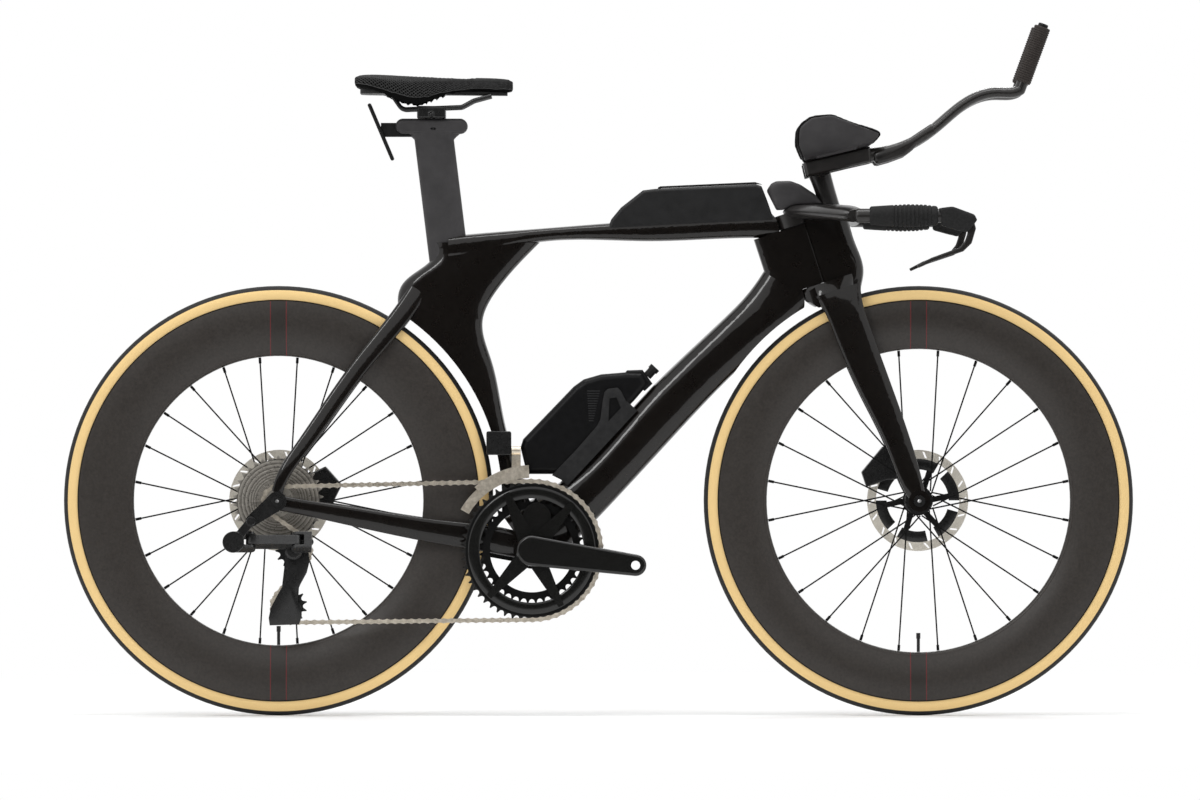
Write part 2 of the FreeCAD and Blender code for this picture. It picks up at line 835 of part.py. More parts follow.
def post_section(up, grow):
    """The seatpost's aerofoil section at a height above its mouth."""
    chord, thick = S.post_chord / 2 + grow, S.post_thickness / 2 + grow
    return oval(Vector(0, 0, up), X_AXIS, Y_AXIS, chord, thick, 2.3)


POST_MOUTH_SHARES = (-0.3375, 0.981)
post_mouth = Placement(frame_point(*POST_MOUTH_SHARES), Rotation(Y_AXIS, -S.post_angle))
post_top = post_mouth.Base.z + S.post_rise
post_top_x = post_mouth.Base.x - S.post_rise * math.tan(math.radians(S.post_angle))
saddle_top = post_top + S.saddle_rise


def post_socket():
    """The socket in the seat panel, deep enough for the post's lowest setting."""
    floor = -S.post_insert - S.post_travel_down - S.clearance
    return placed(loft([post_section(floor, S.clearance), post_section(S.post_chord, S.clearance)]), post_mouth)


def head_bore():
    """The bore for the steerer, with a seat for a bearing at each end."""
    far = S.overrun
    bore = Part.makeCylinder(S.steerer_radius + S.clearance, S.head_length + 2 * far,
                             Vector(0, 0, S.head_bottom - far))
    seat = S.bearing_radius + S.fit_clearance
    lower = Part.makeCylinder(seat, S.bearing_height + far, Vector(0, 0, S.head_bottom - far))
    upper_start = S.head_bottom + S.head_length - S.bearing_height
    upper = Part.makeCylinder(seat, S.bearing_height + far, Vector(0, 0, upper_start))
    return placed(bore.fuse([lower, upper]), steering)


def make_main_frame():
    """The main moulding, cut for the two wheels, the fork, the post and the crank."""
    half_shell = S.bb_shell_width / 2
    shell = cross_bar(S.bb_shell_radius, bottom_bracket, -half_shell, half_shell)
    frame = seat_panel().fuse([top_tube(), down_tube(), head_block(), shell])
    far = S.wheelbase
    frame = frame.cut(cross_bar(wheel_radius + S.rear_wheel_gap, rear_axle, -far, far))
    frame = frame.cut(cross_bar(wheel_radius + S.front_wheel_gap, front_axle, -far, far))
    frame = frame.cut(steering_room())
    frame = frame.cut(head_bore())
    frame = frame.cut(post_socket())
    frame = frame.cut(cross_bar(S.spindle_radius + S.clearance, bottom_bracket, -far, far))
    main = max(frame.Solids, key=lambda piece: piece.Volume)
    solid("main_frame", main)
    return main


main_frame = make_main_frame()

# Stays: each row is a place along the stay, its height, its side share, its depth share
SEAT_STAY_SHARES = (
    (-0.426, 0.836, 0.1, 1.05),
    (-0.5575, 0.645, 0.33, 1.07),
    (-0.72, 0.45, 0.56, 0.95),
    (-0.87, 0.245, 0.82, 0.85),
    (-0.965, 0.115, 0.985, 0.72),
    (-1.0, 0.03, 1.0, 0.66),
)
CHAIN_STAY_SHARES = (
    (-0.06, -0.165, 0.3, 1.45),
    (-0.26, -0.13, 0.36, 1.45),
    (-0.42, -0.108, 0.49, 1.3),
    (-0.64, -0.07, 0.76, 1.12),
    (-0.85, -0.032, 0.97, 0.92),
    (-0.985, -0.008, 1.0, 0.85),
)


def stay(rows, thickness_start, thickness_end):
    """One right-hand stay, lofted from the frame back to the dropout."""
    dropout_side = S.rear_hub_width / 2 + S.dropout_thickness / 2
    points = [frame_point(along, up, RIGHT * dropout_side * side) for along, up, side, depth in rows]
    sections = []
    last = len(rows) - 1
    for index, point in enumerate(points):
        run = points[min(index + 1, last)] - points[max(index - 1, 0)]
        depth_way = Vector(-run.z, 0, run.x).normalize()
        depth = S.stay_depth * rows[index][3]
        thickness = thickness_start + (thickness_end - thickness_start) * index / last
        sections.append(oval(point, depth_way, Y_AXIS, depth / 2, thickness / 2, 2.6))
    return loft(sections)


def make_stays():
    """Chain stays with their dropouts, and seat stays that seat on both."""
    far = S.wheelbase
    low_side = -S.rear_hub_width / 2 - S.dropout_thickness
    high_side = -S.rear_hub_width / 2
    dropout = cross_bar(S.dropout_radius, rear_axle, low_side, high_side)
    hub_room = cross_bar(S.dropout_radius + S.dropout_thickness, rear_axle, high_side, -high_side)
    bore = cross_bar(S.axle_radius + S.fit_clearance, rear_axle, -far, far)
    chain = stay(CHAIN_STAY_SHARES, S.stay_thickness, S.stay_end_thickness)
    chain = chain.fuse(dropout).cut(hub_room.fuse(bore)).cut(main_frame)
    chain = max(chain.Solids, key=lambda piece: piece.Volume)
    seat = stay(SEAT_STAY_SHARES, S.stay_thickness, S.stay_end_thickness)
    seat = seat.cut(hub_room.fuse(bore)).cut(main_frame).cut(chain)
    seat = max(seat.Solids, key=lambda piece: piece.Volume)
    solid("chain_stays", both_sides(chain))
    solid("seat_stays", both_sides(seat))


make_stays()


def make_bottom_bracket():
    """Two bearing cups that screw into the shell's ends."""
    cups = []
    half_shell = S.bb_shell_width / 2
    for side in SIDES:
        cup = cross_bar(S.bb_cup_radius, bottom_bracket, side * half_shell, side * (half_shell + S.bb_cup_width))
        far = half_shell + S.bb_cup_width + S.overrun
        cups.append(cup.cut(cross_bar(S.spindle_radius + S.fit_clearance, bottom_bracket, -far, far)))
    solid("bottom_bracket", Part.makeCompound(cups))


def make_headset():
    """Upper and lower bearing rings in the head."""
    rings = []
    for start in (S.head_bottom, S.head_bottom + S.head_length - S.bearing_height):
        ring = Part.makeCylinder(S.bearing_radius, S.bearing_height, Vector(0, 0, start))
        hole = Part.makeCylinder(S.steerer_radius + S.fit_clearance, S.bearing_height, Vector(0, 0, start))
        rings.append(placed(ring.cut(hole), steering))
    solid("headset_bearings", Part.makeCompound(rings))


make_bottom_bracket()
make_headset()
make_axle("rear_axle", rear_axle, S.rear_hub_width / 2 + S.dropout_thickness + S.hanger_thickness)

# Seatpost, saddle and the bracket behind it
POST_HEAD_ROUND_SHARE = 0.43


def make_seatpost():
    """The aerofoil post, which widens into a head under the saddle."""
    neck = S.post_rise - S.post_head_height
    lean = math.tan(math.radians(S.post_angle))
    shaft = placed(loft([post_section(-S.post_insert, 0), post_section(neck, 0)]), post_mouth)
    half_chord = S.post_chord / 2
    half_head = S.post_head_length / 2
    half_thick, half_wide = S.post_thickness / 2, S.post_head_width / 2
    flare_shares = ((-0.6, 1.0, 0), (-0.15, 1.04, 0), (0.2, 1.42, 0.8), (0.5, 1.66, 1.0))
    sections = []
    for rise_share, long_share, wide_share in flare_shares:
        up = neck + rise_share * S.post_head_height
        centre = post_mouth.Base + Vector(-up * lean, 0, up)
        wide_half = half_thick + wide_share * (half_wide - half_thick)
        sections.append(oval(centre, X_AXIS, Y_AXIS, long_share * half_chord, wide_half, 2.3))
    round_end = S.post_head_height * POST_HEAD_ROUND_SHARE
    ends = [Vector(post_top_x + hand * (half_head - round_end), 0, post_top - round_end) for hand in SIDES]
    head = hull_prism(*ends, round_end, round_end, -half_wide, half_wide)
    sides = [edge for edge in head.Edges if abs(abs(edge.CenterOfMass.y) - half_wide) < S.fit_clearance]
    head = head.makeFillet(round_end / 2, sides)
    return shaft.fuse([loft(sections), head])


saddle_nose_x = post_top_x + S.saddle_reach
# Each saddle row: place from the nose, width share, then the drop of the top edge
# and of the side skirt as shares of the cover's depth
SADDLE_SHARES = (
    (0.0, 0.13, 0.85, 1.15),
    (0.03, 0.25, 0.42, 1.38),
    (0.12, 0.3, 0.3, 1.36),
    (0.32, 0.36, 0.24, 1.46),
    (0.5, 0.52, 0.16, 2.12),
    (0.6, 0.68, 0.11, 2.5),
    (0.7, 0.84, 0.07, 2.3),
    (0.87, 1.0, 0.0, 1.42),
    (0.96, 0.86, 0.06, 1.08),
    (1.0, 0.62, 0.4, 0.85),
)


def saddle_section(along, width, top, bottom):
    """One crowned section with drawn-in sides and a flat underside."""
    place = saddle_nose_x - along * S.saddle_length
    half = width / 2
    depth = top - bottom
    shoulder, hip = 0.78 * half, half
    corners = [Vector(place, hand * hip * 0.94, bottom) for hand in SIDES]
    shoulders = [Vector(place, hand * shoulder, top - 0.2 * depth) for hand in SIDES]
    hips = [Vector(place, hand * hip, bottom + 0.42 * depth) for hand in SIDES]
    edges = [
        Part.LineSegment(corners[0], corners[1]).toShape(),
        Part.Arc(corners[1], hips[1], shoulders[1]).toShape(),
        Part.Arc(shoulders[1], Vector(place, 0, top), shoulders[0]).toShape(),
        Part.Arc(shoulders[0], hips[0], corners[0]).toShape(),
    ]
    return Part.Wire(edges)


def room_section(along, width, ceiling):
    """One section of the room under the cover, open below."""
    place = saddle_nose_x - along * S.saddle_length
    floor = saddle_top - 2 * S.rail_drop
    corners = [Vector(place, hand * width / 2, up) for hand, up in
               ((RIGHT, floor), (LEFT, floor), (LEFT, ceiling), (RIGHT, ceiling))]
    return Part.makePolygon(corners + corners[:1])


# Rail route: place from the nose as a share of the length, drop as a share of the rail drop
RAIL_SHARES = ((0.765, 0.56), (0.7, 1.0), (0.325, 0.93), (0.25, 0.74), (0.14, 0.6))


def rail_points(side):
    """The corners of one saddle rail."""
    across = side * S.rail_spacing / 2
    return [Vector(saddle_nose_x - along * S.saddle_length, across, saddle_top - drop * S.rail_drop)
            for along, drop in RAIL_SHARES]


def make_saddle():
    """A soft crowned cover with a relief channel, over a stiff base."""
    cover_sections, base_sections, room_sections = [], [], []
    for along, width_share, drop, skirt in SADDLE_SHARES:
        width = width_share * S.saddle_width
        top = saddle_top - drop * S.saddle_cover_depth
        ceiling = saddle_top - S.saddle_cover_depth * (1.05 + 0.12 * (1 - along))
        cover_sections.append(saddle_section(along, width, top, saddle_top - skirt * S.saddle_cover_depth))
        base_top = ceiling - S.clearance
        base_width = 0.88 * width
        base_sections.append(saddle_section(0.04 + 0.92 * along, base_width, base_top, base_top - S.saddle_base_depth))
        room_sections.append(room_section(0.03 + 0.94 * along, base_width + 4 * S.clearance, ceiling))
    half = S.saddle_channel_width / 2
    front, rear = saddle_nose_x - 0.3 * S.saddle_length, saddle_nose_x - 0.86 * S.saddle_length
    floor = saddle_top - S.saddle_channel_depth - 0.2 * S.saddle_cover_depth
    trough = Part.makeBox(front - rear, 2 * half, S.saddle_cover_depth, Vector(rear, -half, floor))
    for end in (front, rear):
        trough = trough.fuse(Part.makeCylinder(half, S.saddle_cover_depth, Vector(end, 0, floor)))
    cover = loft(cover_sections).cut(loft(room_sections))
    base = loft(base_sections).cut(cover)
    for side in SIDES:
        base = base.cut(bent_rod(rail_points(side), S.rail_radius + S.fit_clearance, S.rail_bend))
    solid("saddle_cover", cover.cut(trough))
    solid("saddle_base", max(base.Solids, key=lambda piece: piece.Volume))


def make_rails_and_clamp(post):
    """Two bent rails and the block that holds them on the post's head."""
    rails = [bent_rod(rail_points(side), S.rail_radius, S.rail_bend) for side in SIDES]
    solid("saddle_rails", Part.makeCompound(rails))
    block = Part.makeBox(S.rail_clamp_length, S.rail_clamp_width, S.rail_clamp_height,
                         Vector(post_top_x - S.rail_clamp_length / 2, -S.rail_clamp_width / 2, post_top))
    block = block.makeFillet(S.rail_bolt_radius, [edge for edge in block.Edges if abs(edge.tangentAt(0).y) < 0.5])
    for side in SIDES:
        low, high = rail_points(side)[1:3]
        run = (high - low).normalize() * S.post_head_length
        block = block.cut(bar(S.rail_radius + S.fit_clearance, low - run, high + run))
    bolt_centre = Vector(post_top_x, 0, post_top + S.rail_clamp_height * 0.28)
    half_bolt = S.rail_clamp_width / 2 + S.rail_bolt_radius
    solid("saddle_clamp", block.fuse(cross_bar(S.rail_bolt_radius, bolt_centre, -half_bolt, half_bolt)))


bracket_place = Placement(
    Vector(post_top_x - S.bracket_reach, 0, post_top - S.bracket_drop), Rotation(Y_AXIS, -S.bracket_lean))


def make_bracket(post):
    """A plate for two bottle cages, on an arm from the back of the post's head."""
    plate = Part.makeBox(S.bracket_plate, S.bracket_width, S.bracket_length,
                         Vector(-S.bracket_plate / 2, -S.bracket_width / 2, -S.bracket_length / 2))
    plate = plate.makeFillet(S.bracket_plate * 0.45, plate.Edges)
    far = S.bracket_plate
    for hand in SIDES:
        foot = Vector(-far, 0, hand * S.bracket_hole_spacing / 2)
        plate = plate.cut(Part.makeCylinder(S.bracket_hole_radius, 2 * far, foot, X_AXIS))
    plate = placed(plate, bracket_place)
    arm = Part.makeBox(S.bracket_arm_length + S.post_head_length / 4, S.bracket_plate * 2, S.bracket_arm_height,
                       Vector(bracket_place.Base.x, -S.bracket_plate, bracket_place.Base.z - S.bracket_arm_height * 0.35))
    arm = arm.cut(post)
    arm = max(arm.Solids, key=lambda piece: -piece.CenterOfMass.x)
    solid("rear_bracket", plate.fuse(arm))


seatpost = make_seatpost()
solid("seatpost", seatpost)
make_saddle()
make_rails_and_clamp(seatpost)
make_bracket(seatpost)


# Chain drive: rings, cogs, pulleys and chain, all set out from one chain path
def pitch_radius(teeth):
    """The radius on which the chain's pins run round a toothed wheel."""
    return S.chain_pitch / (2 * math.sin(math.pi / teeth))


def toothed_disc(teeth, phase, centre, thickness, bore):
    """A toothed wheel with round gullets, one gullet at the phase angle."""
    radius = pitch_radius(teeth)
    gullet = S.roller_radius + S.gullet_clearance
    spread = math.radians(65)
    tip_angle = S.tooth_tip / 2 / (radius + S.tooth_height)
    step = 2 * math.pi / teeth

    def polar(reach, turn):
        return Vector(centre.x + reach * math.cos(turn), centre.y - thickness / 2, centre.z + reach * math.sin(turn))

    edges = []
    for index in range(teeth):
        turn = phase + index * step
        seat = polar(radius, turn)
        inward = polar(radius - gullet, turn)
        sides = []
        for hand in SIDES:
            swing = turn + math.pi + hand * spread * RIGHT
            sides.append(seat + Vector(math.cos(swing), 0, math.sin(swing)) * gullet)
        tip_start = polar(radius + S.tooth_height, turn + step / 2 - tip_angle)
        tip_end = polar(radius + S.tooth_height, turn + step / 2 + tip_angle)
        next_seat = polar(radius, turn + step)
        swing = turn + step + math.pi + spread
        next_side = next_seat + Vector(math.cos(swing), 0, math.sin(swing)) * gullet
        edges.append(Part.Arc(sides[0], inward, sides[1]).toShape())
        edges.append(Part.LineSegment(sides[1], tip_start).toShape())
        edges.append(Part.LineSegment(tip_start, tip_end).toShape())
        edges.append(Part.LineSegment(tip_end, next_side).toShape())
    disc = Part.Face(Part.Wire(edges)).extrude(Y_AXIS * thickness)
    far = thickness
    return disc.cut(cross_bar(bore, centre, centre.y - far, centre.y + far))


Wheel = namedtuple("Wheel", "centre radius teeth hand side")
ring_centre = bottom_bracket - Y_AXIS * S.ring_side
cog_centre = rear_axle - Y_AXIS * S.cog_side
guide_centre = cog_centre + Vector(S.guide_forward, 0, -S.guide_drop)


def chain_wheels(cage_lean):
    """The four toothed wheels in the order in which the chain meets them."""
    swing = math.radians(cage_lean)
    tension = guide_centre + Vector(-math.sin(swing), 0, -math.cos(swing)) * S.cage_length
    rows = ((ring_centre, OUTER_RING_TEETH, 1), (cog_centre, COG_TEETH[0], 1),
            (guide_centre, PULLEY_TEETH, -1), (tension, PULLEY_TEETH, 1))
    return [Wheel(centre, pitch_radius(teeth), teeth, hand, centre.y) for centre, teeth, hand in rows]


def chain_path(wheels):
    """Arcs and straight runs of the chain: (wheel, entry angle, arc links, course, run length)."""
    courses = []
    for wheel, following in zip(wheels, wheels[1:] + wheels[:1]):
        gap = following.centre - wheel.centre
        reach = math.hypot(gap.x, gap.z)
        offset = following.hand * following.radius - wheel.hand * wheel.radius
        course = math.atan2(gap.z, gap.x) - math.asin(offset / reach)
        courses.append((course, math.sqrt(reach ** 2 - offset ** 2)))
    path = []
    for index, wheel in enumerate(wheels):
        entry = courses[index - 1][0] - wheel.hand * math.pi / 2
        leave = courses[index][0] - wheel.hand * math.pi / 2
        sweep = (wheel.hand * (leave - entry)) % (2 * math.pi)
        path.append((wheel, entry, sweep * wheel.teeth / (2 * math.pi), *courses[index]))
    return path


def chain_links(cage_lean):
    """The chain's length in links at one angle of the derailleur cage."""
    return sum(arc + run / S.chain_pitch for _, _, arc, _, run in chain_path(chain_wheels(cage_lean)))


def settled_cage_lean():
    """The cage angle at which the chain is a whole, even number of links."""
    links = 2 * round(chain_links(S.cage_lean) / 2)
    swing = 28
    low, high = S.cage_lean - swing, S.cage_lean + swing
    rising = chain_links(high) > chain_links(low)
    for _ in range(50):
        middle = (low + high) / 2
        if (chain_links(middle) > links) == rising:
            high = middle
        else:
            low = middle
    return middle, links


cage_lean, link_count = settled_cage_lean()
wheels = chain_wheels(cage_lean)
tension_centre = wheels[3].centre


def drift_share(links, run_links):
    """How much of its sideways step the chain has made, straight where it leaves a wheel."""
    share = (links - DRIFT_LEAD_LINKS) / max(run_links - 2 * DRIFT_LEAD_LINKS, 1)
    share = min(max(share, 0), 1)
    return share * share * (3 - 2 * share)


def pin_places():
    """Every chain pin's place, and the gullet angle of each toothed wheel."""
    places, phases = [], []
    start = 0.0
    path = chain_path(wheels)
    for index, (wheel, entry, arc, course, run) in enumerate(path):
        first = math.ceil(start - 1e-9)
        step = wheel.hand * 2 * math.pi / wheel.teeth
        phases.append(entry + (first - start) * step)
        while first <= start + arc:
            turn = entry + (first - start) * step
            places.append(wheel.centre + Vector(math.cos(turn), 0, math.sin(turn)) * wheel.radius)
            first += 1
        leave = entry + arc * step
        origin = wheel.centre + Vector(math.cos(leave), 0, math.sin(leave)) * wheel.radius
        run_links = run / S.chain_pitch
        drift = path[(index + 1) % len(path)][0].side - wheel.side
        start += arc
        while first < start + run_links - 1e-9:
            ahead = Vector(math.cos(course), 0, math.sin(course)) * ((first - start) * S.chain_pitch)
            places.append(origin + ahead + Y_AXIS * (drift_share(first - start, run_links) * drift))
            first += 1
        start += run_links
    return places[:link_count], phases


chain_pins, gullet_phases = pin_places()


def link_side(low_side, high_side):
    """One waisted side plate of a link, centred between its two pins."""
    half, radius, waist = S.chain_pitch / 2, S.link_height / 2, S.link_waist / 2
    turn = math.radians(LINK_ARC_DEGREES)
    reach, rise = half - radius * math.cos(turn), radius * math.sin(turn)
    low_back, high_back, high_front, low_front = [
        Vector(along, low_side, up) for along, up in ((-reach, -rise), (-reach, rise), (reach, rise), (reach, -rise))]
    edges = [
        Part.Arc(low_back, Vector(-half - radius, low_side, 0), high_back).toShape(),
        Part.Arc(high_back, Vector(0, low_side, waist), high_front).toShape(),
        Part.Arc(high_front, Vector(half + radius, low_side, 0), low_front).toShape(),
        Part.Arc(low_front, Vector(0, low_side, -waist), low_back).toShape(),
    ]
    return Part.Face(Part.Wire(edges)).extrude(Y_AXIS * (high_side - low_side))


def link_shape(outer):
    """An inner link with two rollers, or an outer link with two pins."""
    half_pitch = S.chain_pitch / 2
    ends = [Vector(-half_pitch, 0, 0), Vector(half_pitch, 0, 0)]
    inner_face = S.link_inner_width / 2
    if outer:
        inner_face += S.link_plate + S.link_plate_gap
    outer_face = inner_face + S.link_plate
    plates = [link_side(low, high) for low, high in ((-outer_face, -inner_face), (inner_face, outer_face))]
    if outer:
        joints = [cross_bar(S.pin_radius, end, -outer_face, outer_face) for end in ends]
        return plates[0].fuse(plates[1:] + joints)
    joints = [cross_bar(S.roller_radius, end, -inner_face, inner_face) for end in ends]
    link = plates[0].fuse(plates[1:] + joints)
    holes = [cross_bar(S.pin_radius + S.pin_clearance, end, -outer_face, outer_face) for end in ends]
    return link.cut(holes[0].fuse(holes[1]))


def make_chain():
    """Inner and outer links in turn, each laid between two pins of the path."""
    patterns = [link_shape(False), link_shape(True)]
    links = []
    for index, pin in enumerate(chain_pins):
        after = chain_pins[(index + 1) % len(chain_pins)]
        along = (after - pin).normalize()
        up = along.cross(Y_AXIS).normalize()
        across = up.cross(along)
        place = Placement((pin + after) * 0.5, Rotation(along, across, up, "XYZ"))
        links.append(placed(patterns[index % 2], place))
    solid("chain", Part.makeCompound(links))


def in_crank(turn_degrees, reach, side=0.0):
    """A point on the crank set, by angle from the arm and distance from the spindle."""
    turn = math.radians(turn_degrees - S.crank_angle)
    return bottom_bracket + Vector(math.cos(turn) * reach, side, math.sin(turn) * reach)


def make_chainrings():
    """Outer and inner rings with the four bolts that space them."""
    thick = S.sprocket_thickness
    outer = toothed_disc(OUTER_RING_TEETH, gullet_phases[0], ring_centre, thick, S.ring_rim_radius)
    rim_outer = pitch_radius(OUTER_RING_TEETH) - S.ring_tooth_depth
    half_rim = S.ring_rim_thickness / 2
    rim = cross_bar(rim_outer, bottom_bracket, -S.ring_side - half_rim, -S.ring_side + half_rim)
    rim = rim.cut(cross_bar(S.ring_rim_radius, bottom_bracket, -S.wheelbase, S.wheelbase))
    inner_centre = ring_centre + Y_AXIS * S.ring_spacing
    inner = toothed_disc(INNER_RING_TEETH, 0, inner_centre, thick, S.inner_ring_bore_radius)
    inner_face = inner_centre.y - thick / 2
    bolts = [cross_bar(S.ring_bolt_radius, in_crank(turn, S.ring_bolt_circle), -S.ring_side - half_rim, inner_face)
             for turn in SPIDER_DEGREES]
    solid("chainrings", Part.makeCompound([outer.fuse(rim), inner] + bolts))


def spider_arm(turn, low_side, high_side):
    """One tapered spider arm."""
    root, tip = in_crank(turn, S.crank_boss_radius / 2), in_crank(turn, S.spider_radius)
    across = Vector(root.z - tip.z, 0, tip.x - root.x).normalize()
    half_root, half_tip = across * (S.spider_width / 2), across * (S.spider_tip_width / 2)
    return polygon_prism([root - half_root, tip - half_tip, tip + half_tip, root + half_root], low_side, high_side)


def crank_arm(pedal, side):
    """One crank arm with a threaded pedal eye and softened outer edges."""
    outer = side * S.crank_face_side
    inner = outer - side * S.crank_thickness
    arm = hull_prism(bottom_bracket, pedal, S.crank_boss_radius, S.crank_end_radius, min(outer, inner), max(outer, inner))
    rim_edges = [edge for edge in arm.Edges if abs(edge.CenterOfMass.y - outer) < S.fit_clearance]
    arm = arm.makeFillet(S.crank_thickness / 3, rim_edges)
    far = S.crank_face_side + S.overrun
    return arm.cut(cross_bar(S.pedal_thread_radius, pedal, -far, far))


def make_cranks():
    """Right crank with spider, spindle and sensor pod; left crank with its boss."""
    spider_back = -S.ring_side - S.ring_rim_thickness / 2
    spider_front = spider_back - S.spider_thickness
    cup_face = S.bb_shell_width / 2 + S.bb_cup_width + S.clearance
    arm_inner = S.crank_face_side - S.crank_thickness
    boss = S.bb_cup_radius - S.fit_clearance
    right = crank_arm(in_crank(0, S.crank_length), RIGHT)
    pieces = [spider_arm(turn, spider_front, spider_back) for turn in SPIDER_DEGREES]
    pieces.append(cross_bar(boss, bottom_bracket, -arm_inner - S.fit_clearance, -cup_face))
    pod_low = spider_back - S.spider_thickness / 2
    pod_high = -S.ring_side + S.ring_spacing - S.sprocket_thickness - S.clearance
    pod_turn = (SPIDER_DEGREES[0] + SPIDER_DEGREES[1]) / 2
    pieces.append(hull_prism(bottom_bracket, in_crank(pod_turn, S.pod_offset), boss, S.pod_radius, pod_low, pod_high))
    pieces.append(cross_bar(S.spindle_radius, bottom_bracket, -arm_inner - S.fit_clearance, S.crank_face_side))
    solid("right_crank", right.fuse(pieces))
    left = crank_arm(in_crank(180, S.crank_length), LEFT)
    left = left.fuse(cross_bar(boss, bottom_bracket, cup_face, arm_inner + S.fit_clearance))
    bore = cross_bar(S.spindle_radius + S.fit_clearance, bottom_bracket, 0, S.crank_face_side + S.overrun)
    solid("left_crank", left.cut(bore))


def cog_shape(index, teeth):
    """One cog, lightened by a ring of holes where it is wide enough."""
    centre = cog_centre + Y_AXIS * (index * S.cog_spacing)
    phase = gullet_phases[1] if index == 0 else 0
    cog = toothed_disc(teeth, phase, centre, S.sprocket_thickness, S.cog_bore_radius)
    web = pitch_radius(teeth) - S.roller_radius - S.spacer_radius
    if web < S.spacer_radius:
        return cog
    count = 10
    holes = []
    for step in range(count):
        turn = 2 * math.pi * step / count
        middle = centre + Vector(math.cos(turn), 0, math.sin(turn)) * (S.spacer_radius + web * 0.45)
        holes.append(cross_bar(web * 0.18, middle, centre.y - S.cog_spacing, centre.y + S.cog_spacing))
    return cog.cut(holes[0].fuse(holes[1:]))


def make_cassette():
    """Twelve cogs on the freehub body, which runs on the rear axle."""
    hub_end = -S.rear_right_flange - 1.5 * S.flange_thickness - S.clearance
    outer_end = -S.cog_side - S.cog_spacing
    core = cross_bar(S.spacer_radius, rear_axle, outer_end, hub_end)
    end_cap = cross_bar(S.hub_end_radius, rear_axle, -S.rear_hub_width / 2 + S.clearance, outer_end)
    cogs = [cog_shape(index, teeth) for index, teeth in enumerate(COG_TEETH)]
    stack = core.fuse([end_cap] + cogs)
    solid("cassette", stack.cut(cross_bar(S.axle_radius + S.fit_clearance, rear_axle, -S.wheelbase, S.wheelbase)))


def make_pulleys():
    """Guide and tension pulleys that run on the cage's two pins."""
    bore = S.pulley_bore_radius + S.fit_clearance
    for name, wheel, phase in (("guide_pulley", wheels[2], gullet_phases[2]), ("tension_pulley", wheels[3], gullet_phases[3])):
        solid(name, toothed_disc(wheel.teeth, phase, wheel.centre, S.sprocket_thickness, bore))


def make_cage():
    """The swinging cage: two slotted plates, two pulley pins and its pivot stub."""
    gap, plate = S.cage_half_gap, S.cage_plate
    plates = []
    for low, high in ((gap, gap + plate), (-gap - plate, -gap)):
        side = hull_prism(guide_centre, tension_centre, S.cage_top_radius, S.cage_low_radius,
                          -S.cog_side + low, -S.cog_side + high)
        slot_start = guide_centre + (tension_centre - guide_centre) * 0.32
        slot_end = guide_centre + (tension_centre - guide_centre) * 0.68
        slot = S.cage_top_radius / 2
        plates.append(side.cut(hull_prism(slot_start, slot_end, slot, slot, -S.cog_side + low, -S.cog_side + high)))
    half = gap + plate
    pins = [cross_bar(S.pulley_bore_radius, centre, -S.cog_side - half, -S.cog_side + half)
            for centre in (guide_centre, tension_centre)]
    face = -S.cog_side - half
    pins.append(cross_bar(S.cage_pivot_radius, guide_centre, face - S.cage_pivot_length, face))
    solid("derailleur_cage", plates[0].fuse(plates[1:] + pins))


slant = math.radians(S.link_slant)
link_axis = Vector(0, math.sin(slant), math.cos(slant))
link_base = Vector(rear_axle.x - S.link_pivot_back, -S.link_pivot_side, wheel_radius - S.link_pivot_drop)
link_tip = link_base + X_AXIS * S.link_arm_length
hanger_bolt = Vector(rear_axle.x - S.hanger_bolt_back, 0, wheel_radius - S.hanger_bolt_drop)


def about_link(shape, origin):
    """A shape built with Y along the link's pivots, moved to one pivot."""
    return placed(shape, Placement(origin, Rotation(X_AXIS, link_axis, X_AXIS.cross(link_axis), "XYZ")))


def link_ears(back_way):
    """Two ears and a back block that hold one end of the link on a pin."""
    half = S.link_arm_width / 2 + S.clearance
    outer = half + S.link_ear
    radius = S.link_arm_radius
    ears = [cross_bar(radius, Vector(), low, high) for low, high in ((-outer, -half), (half, outer))]
    near = radius + S.clearance + S.link_ear / 2
    reach = near + S.knuckle_block
    start = near if back_way > 0 else -reach
    block = Part.makeBox(S.knuckle_block, 2 * outer, 2 * radius, Vector(start, -outer, -radius))
    for low in (-outer, half):
        web = Part.makeBox(reach, S.link_ear, 2 * radius, Vector(0 if back_way > 0 else -reach, low, -radius))
        ears.append(web)
    ears.append(cross_bar(S.link_pivot_radius, Vector(), -outer, outer))
    return block.fuse(ears)


